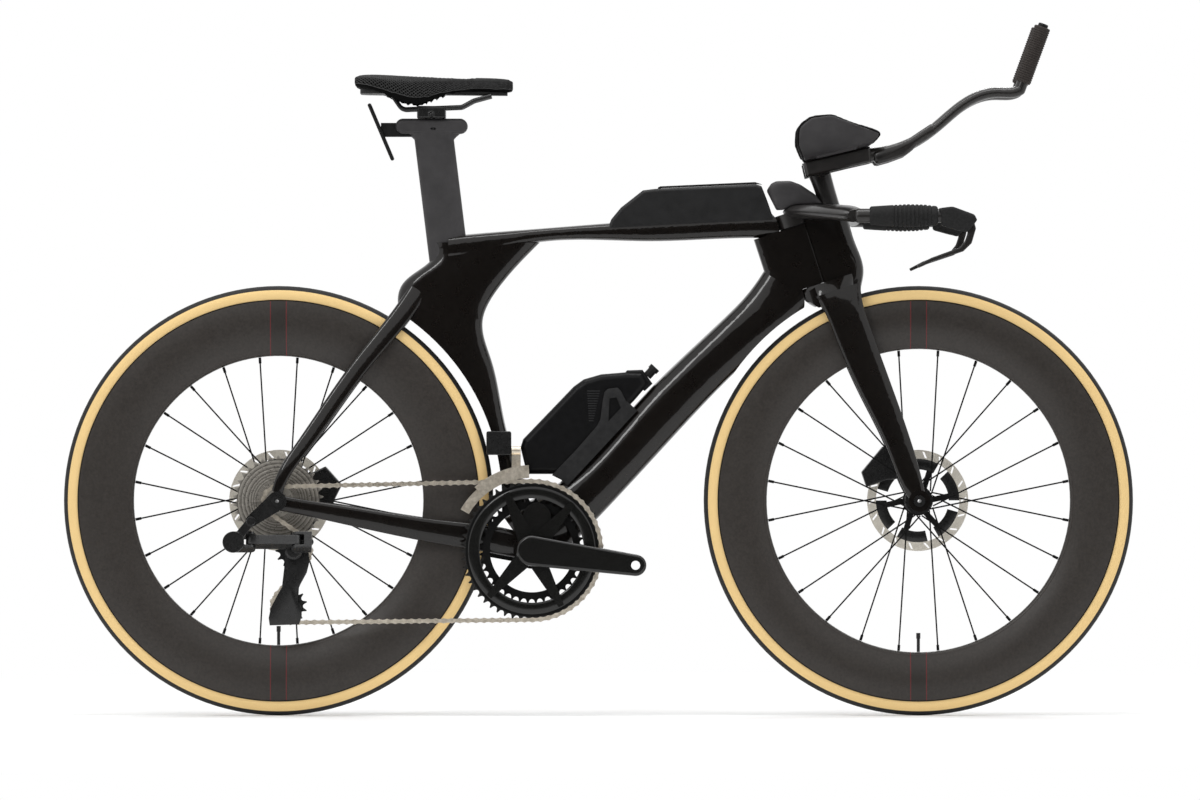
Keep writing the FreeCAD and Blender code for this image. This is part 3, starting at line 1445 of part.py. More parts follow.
def make_rear_derailleur():
    """Fixed body with motor, swinging link, outer knuckle and cage."""
    half = S.link_arm_width / 2
    far = S.wheelbase
    link = hull_prism(Vector(), Vector(S.link_arm_length, 0, 0), S.link_arm_radius, S.link_arm_radius, -half, half)
    for end in (0, S.link_arm_length):
        link = link.cut(cross_bar(S.link_pivot_radius + S.fit_clearance, Vector(end, 0, 0), -far, far))
    solid("derailleur_links", about_link(link, link_base))
    hanger_face = -S.rear_hub_width / 2 - S.dropout_thickness - S.hanger_thickness
    boss = cross_bar(S.hanger_bolt_radius, hanger_bolt, hanger_face - S.motor_length, hanger_face)
    motor_centre = link_base - X_AXIS * (S.link_arm_radius + S.link_ear + S.knuckle_block)
    motor = cross_bar(S.motor_radius, motor_centre, hanger_face - S.motor_length, hanger_face)
    strut = hull_prism(hanger_bolt, motor_centre, S.hanger_bolt_radius, S.hanger_bolt_radius,
                       hanger_face - S.motor_length / 2, hanger_face)
    body = about_link(link_ears(-1), link_base).fuse([boss, motor, strut])
    solid("derailleur_body", body)
    cage_face = -S.cog_side - S.cage_half_gap - S.cage_plate
    stub = cage_face - S.clearance
    barrel_end = stub - S.cage_pivot_length - S.clearance - S.cage_plate
    barrel = cross_bar(S.knuckle_radius, guide_centre, barrel_end, stub)
    bridge_top = link_tip + X_AXIS * (S.link_arm_radius + S.link_ear + S.knuckle_block / 2)
    bridge = hull_prism(guide_centre, bridge_top, S.knuckle_radius * 0.8, S.knuckle_block / 2, link_tip.y, barrel_end)
    roomy = S.link_arm_radius + S.clearance
    link_room = hull_prism(Vector(), Vector(S.link_arm_length, 0, 0), roomy, roomy, -half - S.clearance, half + S.clearance)
    bridge = bridge.cut(about_link(link_room, link_base))
    socket = cross_bar(S.cage_pivot_radius + S.fit_clearance, guide_centre, stub - S.cage_pivot_length - S.clearance, stub)
    knuckle = about_link(link_ears(1), link_tip).fuse([barrel, bridge]).cut(socket)
    solid("derailleur_knuckle", knuckle)


def make_hanger():
    """The replaceable hanger, outside the right dropout."""
    inner = -S.rear_hub_width / 2 - S.dropout_thickness
    outer = inner - S.hanger_thickness
    plate = hull_prism(rear_axle, hanger_bolt, S.axle_head_radius + S.axle_radius, S.hanger_bolt_radius * 1.3, outer, inner)
    bore = cross_bar(S.axle_radius + S.fit_clearance, rear_axle, -S.wheelbase, S.wheelbase)
    plate = plate.cut(bore).cut(sub_part("chain_stays")).cut(sub_part("seat_stays"))
    solid("derailleur_hanger", max(plate.Solids, key=lambda piece: piece.Volume))


def make_front_derailleur():
    """A motor block on the seat tube and the cage that hangs from its pin."""
    side = -S.seat_panel_width / 2
    low = bottom_bracket + Vector(-S.mech_back - S.mech_length / 2, 0, S.mech_rise)
    body = Part.makeBox(S.mech_length, S.mech_depth, S.mech_height, Vector(low.x, side - S.mech_depth, low.z))
    body = body.makeFillet(S.mech_pin_radius, [edge for edge in body.Edges if abs(edge.tangentAt(0).y) > 0.5])
    pin_place = Vector(low.x + S.mech_length, side - S.mech_depth * 0.7, low.z + S.mech_eye_radius)
    pin_end = pin_place + X_AXIS * (S.mech_eye_length + 2 * S.clearance)
    body = body.fuse(bar(S.mech_pin_radius, pin_place, pin_end))
    body = body.cut(main_frame)
    solid("front_derailleur", max(body.Solids, key=lambda piece: piece.Volume))
    tip = pitch_radius(OUTER_RING_TEETH) + S.tooth_height + S.mech_cage_clearance
    top = tip + S.mech_cage_height
    half, plate = S.mech_cage_gap / 2, S.mech_cage_plate
    near, far_side = -S.ring_side - half - plate, -S.ring_side + half + plate

    def sector(inner_reach, outer_reach, first, last, low_side, high_side):
        band = cross_bar(outer_reach, bottom_bracket, low_side, high_side)
        band = band.cut(cross_bar(inner_reach, bottom_bracket, low_side, high_side))
        fan = [bottom_bracket]
        fan += [bottom_bracket + Vector(math.cos(turn), 0, math.sin(turn)) * (2 * outer_reach)
                for turn in (math.radians(first), math.radians((first + last) / 2), math.radians(last))]
        return band.common(polygon_prism(fan, low_side, high_side))

    plates = [sector(tip, top, 92, 132, near, near + plate), sector(tip, top - S.mech_cage_height / 4, 92, 150, far_side - plate, far_side)]
    bridge = sector(top - 2 * plate, top, 92, 108, near, far_side)
    eye_start = pin_place + X_AXIS * S.clearance
    eye = bar(S.mech_eye_radius, eye_start, eye_start + X_AXIS * S.mech_eye_length)
    hole = bar(S.mech_pin_radius + S.fit_clearance, pin_place, pin_end + X_AXIS * S.overrun)
    tab_low = bottom_bracket.z + top - S.mech_cage_height / 3
    tab = Part.makeBox(S.mech_eye_length, S.mech_eye_radius, pin_place.z - tab_low,
                       Vector(eye_start.x, pin_place.y - S.mech_eye_radius / 2, tab_low))
    foot = Part.makeBox(S.mech_eye_length, pin_place.y - near, 2 * plate + S.mech_cage_height / 6,
                        Vector(eye_start.x, near, tab_low))
    cage = plates[0].fuse([plates[1], bridge, eye, tab, foot]).cut(hole)
    solid("front_derailleur_cage", cage)


make_chain()
make_chainrings()
make_cranks()
make_cassette()
make_pulleys()
make_cage()
make_rear_derailleur()
make_hanger()
make_front_derailleur()


# Fork: each leg row is height, front edge, rear edge, side and thickness, as shares
FORK_LEG_SHARES = (
    (0.95, 0.86, -0.04, 0.5, 1.1),
    (0.84, 0.766, 0.048, 0.58, 1.05),
    (0.672, 0.777, 0.096, 0.66, 1.0),
    (0.476, 0.805, 0.193, 0.76, 0.96),
    (0.28, 0.825, 0.325, 0.87, 0.93),
    (0.112, 0.817, 0.373, 0.97, 0.93),
    (-0.048, 0.76, 0.49, 1.0, 0.93),
)
# Each crown row: height, front edge, rear edge and half width, as shares
CROWN_SHARES = (
    (0.9, 0.79, -0.08, 1.0),
    (0.955, 0.88, -0.3, 0.92),
    (0.999, 0.99, -0.3, 0.7),
)
# Each nose row: height, front edge and half width, as shares
NOSE_SHARES = (
    (0.9, 0.79, 0.97),
    (0.95, 0.9, 0.98),
    (1.0, 0.995, 1.0),
    (1.1, 1.006, 1.0),
    (1.224, 1.006, 1.0),
    (1.31, 0.97, 1.0),
)
bar_rise = (bar_height - wheel_radius) / math.cos(math.radians(head_lean))
bar_root = steer(0, 0, bar_rise)


def cockpit_point(along_share, up_share, side=0.0):
    """A point on the cockpit, as shares of its reach from the steering axis at the bar."""
    return bar_root + Vector(along_share * S.cockpit_reach, side, up_share * S.cockpit_reach)


def outline(shares):
    """A side view outline on the cockpit."""
    return [cockpit_point(along, up) for along, up in shares]


def flat_section(up, front, rear, side, half_width, squareness):
    """One level section of the fork, in the steering frame."""
    centre = Vector((front + rear) / 2, side, up)
    return oval(centre, X_AXIS, Y_AXIS, (front - rear) / 2, half_width, squareness)


def fork_legs():
    """Two blades from the crown to the axle, with round dropouts."""
    outer_side = S.front_hub_width / 2 + S.leg_thickness / 2
    sections = []
    for up, front, rear, side, thick in FORK_LEG_SHARES:
        sections.append(flat_section(up * S.head_bottom, front * S.blade_front, rear * S.blade_front,
                                     RIGHT * side * outer_side, thick * S.leg_thickness / 2, 2.4))
    leg = placed(loft(sections), steering)
    half_hub = S.front_hub_width / 2
    leg = leg.fuse(cross_bar(S.fork_dropout_radius, front_axle, -half_hub - S.leg_thickness, -half_hub))
    return [leg, mirrored(leg)]


def fork_crown():
    """The crown under the head, narrow behind so that it can turn."""
    sections = [flat_section(up * S.head_bottom, front * S.crown_front, rear * S.crown_front, 0,
                             wide * S.crown_half_width, 2.6) for up, front, rear, wide in CROWN_SHARES]
    crown = loft(sections)
    far = S.wheelbase
    behind = Part.makeBox(far, far, far, Vector(-far, -far / 2, -far / 2))
    behind = behind.cut(Part.makeCylinder(S.head_nose_radius, 2 * far, Vector(0, 0, -far)))
    return placed(crown.cut(behind), steering)


def fork_nose():
    """The blade in front of the head that carries the bar, hollowed round the head."""
    half_width = S.head_width / 2
    sections = [flat_section(up * S.head_bottom, front * S.blade_front, -S.head_nose_radius, 0,
                             wide * half_width, 3) for up, front, wide in NOSE_SHARES]
    nose = loft(sections)
    far = S.wheelbase
    floor = S.head_bottom - S.clearance
    room = Part.makeCylinder(S.head_nose_radius + S.steering_gap, far, Vector(0, 0, floor))
    behind = Part.makeBox(far, far, 2 * far, Vector(-far, -far / 2, -far))
    nose = placed(nose.cut(room.fuse(behind)), steering)
    return nose.cut(Part.makeBox(far, far, far, Vector(0, -far / 2, bar_height)))


def make_fork():
    """Legs, crown, nose and steerer in one moulding."""
    far = S.wheelbase
    steerer_start = S.head_bottom * 0.94
    steerer_end = bar_rise + S.bar_thickness / 2
    steerer = placed(Part.makeCylinder(S.steerer_radius, steerer_end - steerer_start, Vector(0, 0, steerer_start)), steering)
    fork = fork_crown().fuse(fork_legs() + [fork_nose(), steerer])
    room = S.tyre_section / 2 + S.fork_tyre_gap
    fork = fork.cut(cross_bar(wheel_radius + S.fork_tyre_gap, front_axle, -room, room))
    half_hub = S.front_hub_width / 2
    fork = fork.cut(cross_bar(S.fork_dropout_radius + S.overrun, front_axle, -half_hub, half_hub))
    fork = fork.cut(cross_bar(S.axle_radius + S.fit_clearance, front_axle, -far, far))
    fork = max(fork.Solids, key=lambda piece: piece.Volume)
    solid("fork", fork)
    return fork


fork = make_fork()
make_axle("front_axle", front_axle, S.front_hub_width / 2 + S.leg_thickness)

# Base bar: each row is a side share, the rear and front edge, middle height and thickness share
BAR_WING_SHARES = (
    (0.0, -0.038, 0.252, 0.03, 1.0),
    (0.3, 0.005, 0.262, 0.028, 1.0),
    (0.6, 0.097, 0.27, 0.021, 0.97),
    (0.85, 0.177, 0.28, 0.011, 0.93),
    (1.02, 0.207, 0.282, 0.006, 0.8),
)
COVER_SHARES = (
    (-0.063, 0.036), (-0.103, 0.114), (-0.085, 0.142), (-0.063, 0.153), (-0.008, 0.153),
    (0.032, 0.138), (0.092, 0.098), (0.122, 0.058), (0.06, 0.043),
)
LEVER_BODY_SHARES = (
    (0.558, 0.036), (0.615, 0.043), (0.702, 0.011), (0.713, -0.012), (0.672, -0.062),
    (0.57, -0.034),
)
LEVER_SLOT_SHARES = (
    (0.65, -0.004), (0.735, 0.001), (0.735, -0.119), (0.635, -0.119),
)
LEVER_SHARES = (
    (0.67, -0.022), (0.685, -0.009), (0.7, -0.017), (0.707, -0.044), (0.69, -0.102),
    (0.657, -0.134), (0.537, -0.174), (0.482, -0.199), (0.475, -0.187), (0.532, -0.157),
    (0.642, -0.117), (0.662, -0.092), (0.672, -0.062),
)
LEVER_PIVOT_SHARE = (0.685, -0.029)
# Each grip row: place along the horn, half height and half width as shares of the swell
GRIP_SHARES = (
    (0.0, 0.8, 0.8),
    (0.25, 0.9, 0.86),
    (0.55, 1.0, 0.92),
    (0.8, 0.97, 0.9),
    (1.0, 0.82, 0.82),
)


def bar_wing():
    """The flat wing from end to end."""
    rows = [(-side, *rest) for side, *rest in reversed(BAR_WING_SHARES[1:])] + list(BAR_WING_SHARES)
    sections = []
    for side, rear, front, middle, thick in rows:
        back, nose = cockpit_point(rear, middle, side * S.bar_half_width), cockpit_point(front, middle, side * S.bar_half_width)
        sections.append(oval((back + nose) * 0.5, X_AXIS, Z_AXIS, (nose.x - back.x) / 2, thick * S.bar_thickness / 2, 2.3))
    return loft(sections)


horn_start = cockpit_point(BAR_WING_SHARES[-1][1], BAR_WING_SHARES[-1][3], RIGHT * S.bar_half_width) + X_AXIS * S.horn_radius
horn_end = horn_start + X_AXIS * S.horn_length
grip_start = horn_end - X_AXIS * (S.grip_length + S.horn_plug)


def make_base_bar():
    """Wing, two horns and the block that clamps the steerer."""
    horn = bar(S.horn_radius, horn_start, horn_end)
    back_edge = min(horn.Edges, key=lambda edge: edge.CenterOfMass.x)
    horn = horn.makeFillet(S.horn_radius / 2, [back_edge])
    top = bar_rise + S.bar_thickness / 2
    low = S.head_bottom + S.head_length + S.steering_gap
    block = placed(Part.makeCylinder(S.head_nose_radius, top - low, Vector(0, 0, low)), steering)
    bore = placed(Part.makeCylinder(S.steerer_radius + S.fit_clearance, S.wheelbase, Vector(0, 0, low - S.overrun)), steering)
    far = S.wheelbase
    ceiling = Part.makeBox(far, far, far, Vector(0, -far / 2, bar_height + S.bar_thickness))
    wing = bar_wing().cut(ceiling)
    for piece in (horn, mirrored(horn), block):
        wing = wing.fuse(piece)
    wing = wing.cut(fork).cut(bore)
    wing = max(wing.Solids, key=lambda piece: piece.Volume)
    solid("base_bar", wing)
    return wing


base_bar = make_base_bar()


def make_stem_cover():
    """The cap over the bar clamp, shaped to the bar below it."""
    half = S.cover_width / 2
    cap = polygon_prism(outline(COVER_SHARES), -half, half)
    edges = [edge for edge in cap.Edges if abs(edge.CenterOfMass.y) > half - S.fit_clearance]
    top_edges = [edge for edge in edges if edge.CenterOfMass.z > bar_height + S.bar_thickness]
    cap = cap.makeFillet(S.cover_round, top_edges)
    cap = cap.cut(base_bar).cut(aero_riser)
    far = S.wheelbase
    turning = Part.makeCylinder(S.head_nose_radius + S.bar_room / 2, far)
    turning = turning.fuse(Part.makeBox(far, far, far, Vector(0, -far / 2, 0)))
    cap = cap.common(placed(turning, steering))
    cap = cap.cut(placed(Part.makeCylinder(S.steerer_radius + S.fit_clearance, far), steering))
    solid("stem_cover", max(cap.Solids, key=lambda piece: piece.Volume))


def make_bar_grips():
    """Two shaped sleeves on the horns."""
    sections = []
    for along, tall, wide in GRIP_SHARES:
        centre = grip_start + X_AXIS * (along * S.grip_length)
        sections.append(oval(centre, Z_AXIS, Y_AXIS, tall * S.grip_swell, wide * S.grip_swell, 2.2))
    sleeve = loft(sections).cut(bar(S.horn_radius + S.fit_clearance, horn_start, horn_end + X_AXIS * S.overrun))
    solid("bar_grips", both_sides(sleeve))


def make_levers():
    """Lever bodies on the horn ends, and the two brake levers in their slots."""
    middle = RIGHT * S.bar_half_width
    half = S.lever_body_width / 2
    body = polygon_prism(outline(LEVER_BODY_SHARES), middle - half, middle + half)
    side_edges = [edge for edge in body.Edges if abs(abs(edge.CenterOfMass.y - middle) - half) < S.fit_clearance]
    body = body.makeFillet(S.lever_body_round, side_edges)
    body = body.cut(bar(S.horn_radius + S.fit_clearance, horn_start, horn_end + X_AXIS * S.clearance))
    half_slot = S.lever_width / 2 + S.clearance
    body = body.cut(polygon_prism(outline(LEVER_SLOT_SHARES), middle - half_slot, middle + half_slot))
    pivot = cockpit_point(*LEVER_PIVOT_SHARE)
    body = body.fuse(cross_bar(S.lever_pivot_radius, pivot, middle - half + S.fit_clearance, middle + half - S.fit_clearance))
    solid("lever_bodies", both_sides(body))
    half_lever = S.lever_width / 2
    lever = polygon_prism(outline(LEVER_SHARES), middle - half_lever, middle + half_lever)
    edges = [edge for edge in lever.Edges if abs(abs(edge.CenterOfMass.y - middle) - half_lever) < S.fit_clearance]
    lever = lever.makeFillet(S.lever_round, edges)
    lever = lever.cut(cross_bar(S.lever_pivot_radius + S.fit_clearance, pivot, middle - half, middle + half))
    solid("right_brake_lever", lever)
    solid("left_brake_lever", mirrored(lever))


# Riser: a mast on the bar, a cross beam and a clamp block for each extension
MAST_SHARES = (
    (0.107, 0.19, 0.048),
    (0.087, 0.17, 0.113),
    (0.055, 0.15, 0.188),
)
BEAM_SHARE = (0.1, 0.191)
CLAMP_SHARES = ((0.055, 0.166), (0.041, 0.223), (0.301, 0.284), (0.307, 0.223))
TUBE_START_SHARE = (0.045, 0.189)
TUBE_END_SHARE = (0.307, 0.252)
# Each extension row: place, then half height and half width as shares of its section
EXTENSION_SHARES = (
    (0.307, 0.252, 1.29, 0.81),
    (0.375, 0.264, 1.2, 0.86),
    (0.45, 0.291, 1.05, 0.95),
    (0.565, 0.363, 1.0, 1.0),
    (0.647, 0.433, 1.0, 1.0),
    (0.74, 0.486, 1.0, 1.0),
    (0.835, 0.496, 1.0, 0.92),
    (0.895, 0.508, 1.06, 0.74),
)
POLE_SHARE = (0.892, 0.508)
tube_start, tube_end = cockpit_point(*TUBE_START_SHARE), cockpit_point(*TUBE_END_SHARE)


def make_riser():
    """Mast, beam and clamps in one piece, bored for the extensions."""
    sections = []
    for rear, front, up in MAST_SHARES:
        back, nose = cockpit_point(rear, up), cockpit_point(front, up)
        sections.append(oval((back + nose) * 0.5, X_AXIS, Y_AXIS, (nose.x - back.x) / 2, S.mast_width / 2, 2.4))
    spread = S.clamp_half_spread
    centre = cockpit_point(*BEAM_SHARE)
    ends = [oval(centre + Y_AXIS * (side * spread), X_AXIS, Z_AXIS, S.clamp_beam_chord / 2, S.clamp_beam_height / 2)
            for side in SIDES]
    half = S.clamp_block_width / 2
    clamps, bores = [], []
    for side in SIDES:
        middle = side * spread
        clamp = polygon_prism(outline(CLAMP_SHARES), middle - half, middle + half)
        edges = [edge for edge in clamp.Edges if abs(abs(edge.CenterOfMass.y - middle) - half) < S.fit_clearance]
        clamps.append(clamp.makeChamfer(S.clamp_chamfer, edges))
        shift = Y_AXIS * middle
        run = (tube_end - tube_start).normalize() * S.overrun
        bores.append(bar(S.extension_radius + S.fit_clearance, tube_start - run + shift, tube_end + run + shift))
    riser = loft(sections).fuse([loft(ends)] + clamps).cut(bores[0].fuse(bores[1])).cut(base_bar)
    riser = max(riser.Solids, key=lambda piece: piece.Volume)
    solid("aero_riser", riser)
    return riser


pole_way = Vector(math.cos(math.radians(S.pole_angle)), 0, math.sin(math.radians(S.pole_angle)))
pole_base = cockpit_point(*POLE_SHARE, RIGHT * S.clamp_half_spread)


def make_extensions():
    """Two extensions: a round tube, a flat swept arm and an upright pole."""
    shift = Y_AXIS * (RIGHT * S.clamp_half_spread)
    points = [cockpit_point(along, up) + shift for along, up, _, _ in EXTENSION_SHARES]
    sections = []
    last = len(points) - 1
    for index, point in enumerate(points):
        run = points[min(index + 1, last)] - points[max(index - 1, 0)]
        normal = Vector(-run.z, 0, run.x).normalize()
        _, _, tall, wide = EXTENSION_SHARES[index]
        sections.append(oval(point, normal, Y_AXIS, tall * S.extension_thickness / 2, wide * S.extension_width / 2, 2.2))
    arm = loft(sections)
    tube = bar(S.extension_radius, tube_start + shift, tube_end + shift)
    pole_top = S.pole_length - S.button_socket - S.pole_web
    pole = bar(S.pole_radius, pole_base, pole_base + pole_way * (pole_top - S.clearance))
    knee = Part.makeSphere(S.pole_radius, pole_base)
    extension = arm.fuse([tube, pole, knee])
    solid("extensions", both_sides(extension))
    start = pole_base + pole_way * S.pole_grip_start
    grip = bar(S.pole_grip_radius, start, pole_base + pole_way * S.pole_length)
    grip = grip.cut(bar(S.pole_radius + S.fit_clearance, pole_base, pole_base + pole_way * pole_top))
    socket_floor = pole_base + pole_way * (S.pole_length - S.button_socket)
    socket = bar(S.button_radius + S.clearance, socket_floor, socket_floor + pole_way * S.wheelbase)
    grip = grip.cut(arm).cut(socket)
    solid("extension_grips", both_sides(max(grip.Solids, key=lambda piece: piece.Volume)))
    button_low = socket_floor + pole_way * (S.button_travel + S.clearance)
    button = bar(S.button_radius, button_low, button_low + pole_way * S.button_height)
    top_edge = max(button.Edges, key=lambda edge: edge.CenterOfMass.z)
    button = button.makeFillet(S.button_travel, [top_edge])
    solid("right_shift_button", button)
    solid("left_shift_button", mirrored(button))


# Arm rests: the side outline of cup and pad, from the middle of the clamp's top
CUP_SHARES = (
    (-0.46, 0.2), (-0.4, 0.44), (-0.22, 0.525), (0.04, 0.5), (0.58, 0.14),
    (0.58, 0.1), (0.4, -0.02), (-0.41, -0.02))
PAD_SHARES = (
    (-0.41, 0.22), (-0.355, 0.41), (-0.2, 0.478), (0.03, 0.455), (0.5, 0.135),
    (0.5, 0.1), (0.38, -0.02), (-0.38, -0.02))
CUP_TIP_SHARE = 0.35


def make_arm_rests():
    """Trough-shaped cups on the clamps, each lined with a pad."""
    top_rear, top_front = [cockpit_point(*share) for share in CLAMP_SHARES[1:3]]
    tilt = math.degrees(math.atan2(top_front.z - top_rear.z, top_front.x - top_rear.x))
    place = Placement((top_rear + top_front) * 0.5 + Y_AXIS * (RIGHT * S.cup_side), Rotation(Y_AXIS, -tilt))
    far = S.cup_length

    def trough(radius, floor):
        """A long U-shaped block, round below and open above."""
        start = Vector(-far, 0, floor + radius)
        round_floor = Part.makeCylinder(radius, 2 * far, start, X_AXIS)
        return round_floor.fuse(Part.makeBox(2 * far, 2 * radius, far, start - Y_AXIS * radius))

    def trimmed(shape, shares):
        points = [Vector(along * far, 0, up * far) for along, up in shares]
        block = polygon_prism(points, -far, far)
        corners = [edge for edge in block.Edges if abs(edge.CenterOfMass.y) < S.fit_clearance]
        upper = [edge for edge in corners
                 if edge.CenterOfMass.z > 0 and edge.CenterOfMass.x < CUP_TIP_SHARE * far]
        return shape.common(block.makeFillet(S.cup_round, upper))

    floor = S.cup_floor
    cup = trimmed(trough(S.cup_half_width, floor), CUP_SHARES)
    foot = Part.makeBox(S.cup_foot_length, S.cup_foot_width, S.cup_half_width,
                        Vector(-S.cup_foot_length / 2, -S.cup_foot_shift, 0))
    cup = cup.fuse(foot).cut(trough(S.cup_half_width - S.cup_wall, floor + S.cup_wall))
    cup = max(cup.Solids, key=lambda piece: piece.Volume)
    solid("arm_cups", both_sides(placed(cup, place)))
    inner = S.cup_half_width - S.cup_wall
    low = floor + S.cup_wall
    pad = trough(inner - S.fit_clearance, low + S.fit_clearance).cut(trough(inner - S.pad_thickness, low + S.pad_thickness))
    pad = trimmed(pad, PAD_SHARES)
    solid("arm_pads", both_sides(placed(pad, place)))


aero_riser = make_riser()
make_stem_cover()
make_bar_grips()
make_levers()
make_extensions()
make_arm_rests()


# Bottle between the seat panel and the down tube, outline as frame shares
BOTTLE_SHARES = (
    (-0.02, 0.1), (-0.045, 0.2), (-0.035, 0.231), (0.108, 0.429), (0.134, 0.456), (0.179, 0.475),
    (0.246, 0.483), (0.285, 0.482), (0.3, 0.437), (0.268, 0.382), (0.087, 0.1),
)
BOTTLE_CAP_SHARES = ((0.232, 0.467), (0.246, 0.49), (0.286, 0.492), (0.312, 0.44), (0.292, 0.412))
BOTTLE_VALVE_SHARE = (0.298, 0.468)
CAGE_LINE_SHARES = ((0.0788, 0.0744), (0.2591, 0.356))
# Storage box behind the stem, outline as frame shares
BOX_SHARES = (
    (0.19, 1.0), (0.205, 1.057), (0.23, 1.101), (0.287, 1.166), (0.321, 1.172), (0.579, 1.189),
    (0.594, 1.182), (0.625, 1.095), (0.63, 1.035),
)
BOX_ROOM_SHARES = ((0.25, 1.09), (0.3, 1.158), (0.325, 1.164), (0.565, 1.18), (0.59, 1.1))
LID_SHARES = ((0.33, 1.1745), (0.331, 1.181), (0.577, 1.197), (0.595, 1.1885), (0.579, 1.1905))
LID_OPENING_SHARES = ((0.336, 1.1), (0.336, 1.23), (0.57, 1.23), (0.57, 1.1))
LID_HINGE_SHARE = (0.33, 1.1735)
# Brake calipers, as shares of the rotor's radius from the axle
FRONT_CALIPER_SHARES = ((-1.12, 0.56), (-0.7, 1.07), (-0.47, 1.1), (-0.4, 0.42), (-0.62, 0.4), (-1.02, 0.26))
REAR_CALIPER_SHARES = ((0.55, 0.51), (0.91, 0.68), (1.24, 0.31), (1.1, 0.03), (1.05, -0.1), (0.62, -0.04), (0.6, 0.14))


def frame_outline(shares):
    """A side view outline on the frame."""
    return [frame_point(along, up) for along, up in shares]


def soft_prism(points, half_width, edge_round):
    """A side view outline made solid, its long edges rounded."""
    block = polygon_prism(points, -half_width, half_width)
    edges = [edge for edge in block.Edges if abs(abs(edge.CenterOfMass.y) - half_width) < S.fit_clearance]
    return block.makeFillet(edge_round, edges)


def make_bottle():
    """Shaped bottle with its cap, the pull valve and the cage it slides into."""
    half = S.bottle_width / 2
    body = soft_prism(frame_outline(BOTTLE_SHARES), half, S.bottle_round)
    cap = soft_prism(frame_outline(BOTTLE_CAP_SHARES), half - S.bottle_round / 2, S.bottle_round / 2)
    start, end = [frame_point(*share) for share in CAGE_LINE_SHARES]
    way = (end - start).normalize()
    valve_base = frame_point(*BOTTLE_VALVE_SHARE)
    valve = bar(S.valve_stub_radius, valve_base, valve_base + way * S.valve_stub_length)
    nozzle = valve_base + way * (S.valve_stub_length - S.valve_stub_radius)
    valve = valve.fuse(bar(S.valve_stub_radius + S.cage_wall / 2, nozzle, valve_base + way * S.valve_stub_length))
    socket = bar(S.valve_stub_radius + S.clearance, valve_base - way * S.clearance, valve_base + way * S.wheelbase)
    bottle = body.fuse(cap).cut(socket)
    solid("bottle", bottle)
    solid("bottle_valve", valve)
    lift = Vector(-way.z, 0, way.x)
    floor = S.cage_wall + S.cage_lip
    low, high = start - lift * floor, start + lift * S.cage_wall
    run = end - start
    half_cage = half + S.clearance + S.cage_wall
    tray = polygon_prism([low, low + run, high + run, high], -half_cage, half_cage)
    lip_top = start + lift * (S.cage_wall + S.cage_lip)
    lips = []
    for side in SIDES:
        near, far_side = sorted((side * (half + S.clearance), side * half_cage))
        lips.append(polygon_prism([low, low + run, lip_top + run, lip_top], near, far_side))
    cage = tray.fuse(lips).cut(main_frame)
    room = polygon_prism(frame_outline(BOTTLE_SHARES), -half - S.clearance, half + S.clearance)
    cage = cage.cut(room)
    solid("bottle_cage", max(cage.Solids, key=lambda piece: piece.Volume))


def make_storage_box():
    """A hollow box on the top tube with a lid on a rear hinge."""
    half = S.box_width / 2
    hinge = frame_point(*LID_HINGE_SHARE)
    box = soft_prism(frame_outline(BOX_SHARES), half, S.box_round)
    box = box.cut(main_frame)
    box = box.cut(polygon_prism(frame_outline(BOX_ROOM_SHARES), -half + S.box_wall, half - S.box_wall))
    half_mouth = half - S.box_round
    box = box.cut(polygon_prism(frame_outline(LID_OPENING_SHARES), -half_mouth + S.box_wall, half_mouth - S.box_wall))
    room = placed(Part.makeCylinder(S.head_nose_radius + 1.6 * S.bar_room, S.wheelbase), steering)
    box = box.cut(room)
    barrel_half = half_mouth / 2
    box = box.cut(cross_bar(S.lid_barrel_radius + S.clearance, hinge, -barrel_half - S.clearance, barrel_half + S.clearance))
    lid = polygon_prism(frame_outline(LID_SHARES), -half_mouth, half_mouth)
    box = box.cut(lid)
    box = max(box.Solids, key=lambda piece: piece.Volume)
    pin = cross_bar(S.lid_pin_radius, hinge, -half_mouth, half_mouth)
    solid("storage_box", box.fuse(pin))
    lid = lid.fuse(cross_bar(S.lid_barrel_radius, hinge, -barrel_half, barrel_half))
    lid = lid.cut(cross_bar(S.lid_pin_radius + S.fit_clearance, hinge, -half, half))
    solid("storage_lid", lid)


def make_calipers():
    """A caliper for each rotor, open round the disc."""
    rows = (("front_caliper", front_axle, FRONT_CALIPER_SHARES, S.front_rotor_side, fork, S.leg_thickness),
            ("rear_caliper", rear_axle, REAR_CALIPER_SHARES, S.rear_rotor_side, sub_part("chain_stays"), S.stay_thickness))
    for label, axle, shares, side, host, reach in rows:
        points = [axle + Vector(along * S.rotor_radius, 0, up * S.rotor_radius) for along, up in shares]
        half = S.caliper_thickness / 2
        block = polygon_prism(points, side - half, side + half + reach)
        half_slot = S.caliper_slot / 2
        room = cross_bar(S.rotor_radius + S.caliper_slot, axle, side - half_slot, side + half_slot)
        block = block.cut(room).cut(host)
        solid(label, max(block.Solids, key=lambda piece: piece.Volume))


make_bottle()
make_storage_box()
make_calipers()

# Every object is checked before its file is written
doc.recompute()
for piece in doc.Objects:
    if "Invalid" in piece.State or "Error" in piece.State:
        raise RuntimeError(f"{piece.Label} did not build: {piece.State}")
os.makedirs("parts", exist_ok=True)
for piece in sub_parts:
    if piece.Shape.isNull() or not piece.Shape.isValid():
        raise RuntimeError(f"{piece.Label} has no valid shape")
    piece.Shape.exportStep(f"parts/{piece.Label}.step")
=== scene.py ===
import math
from collections import Counter
import bpy
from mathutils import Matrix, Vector
from mathutils.bvhtree import BVHTree


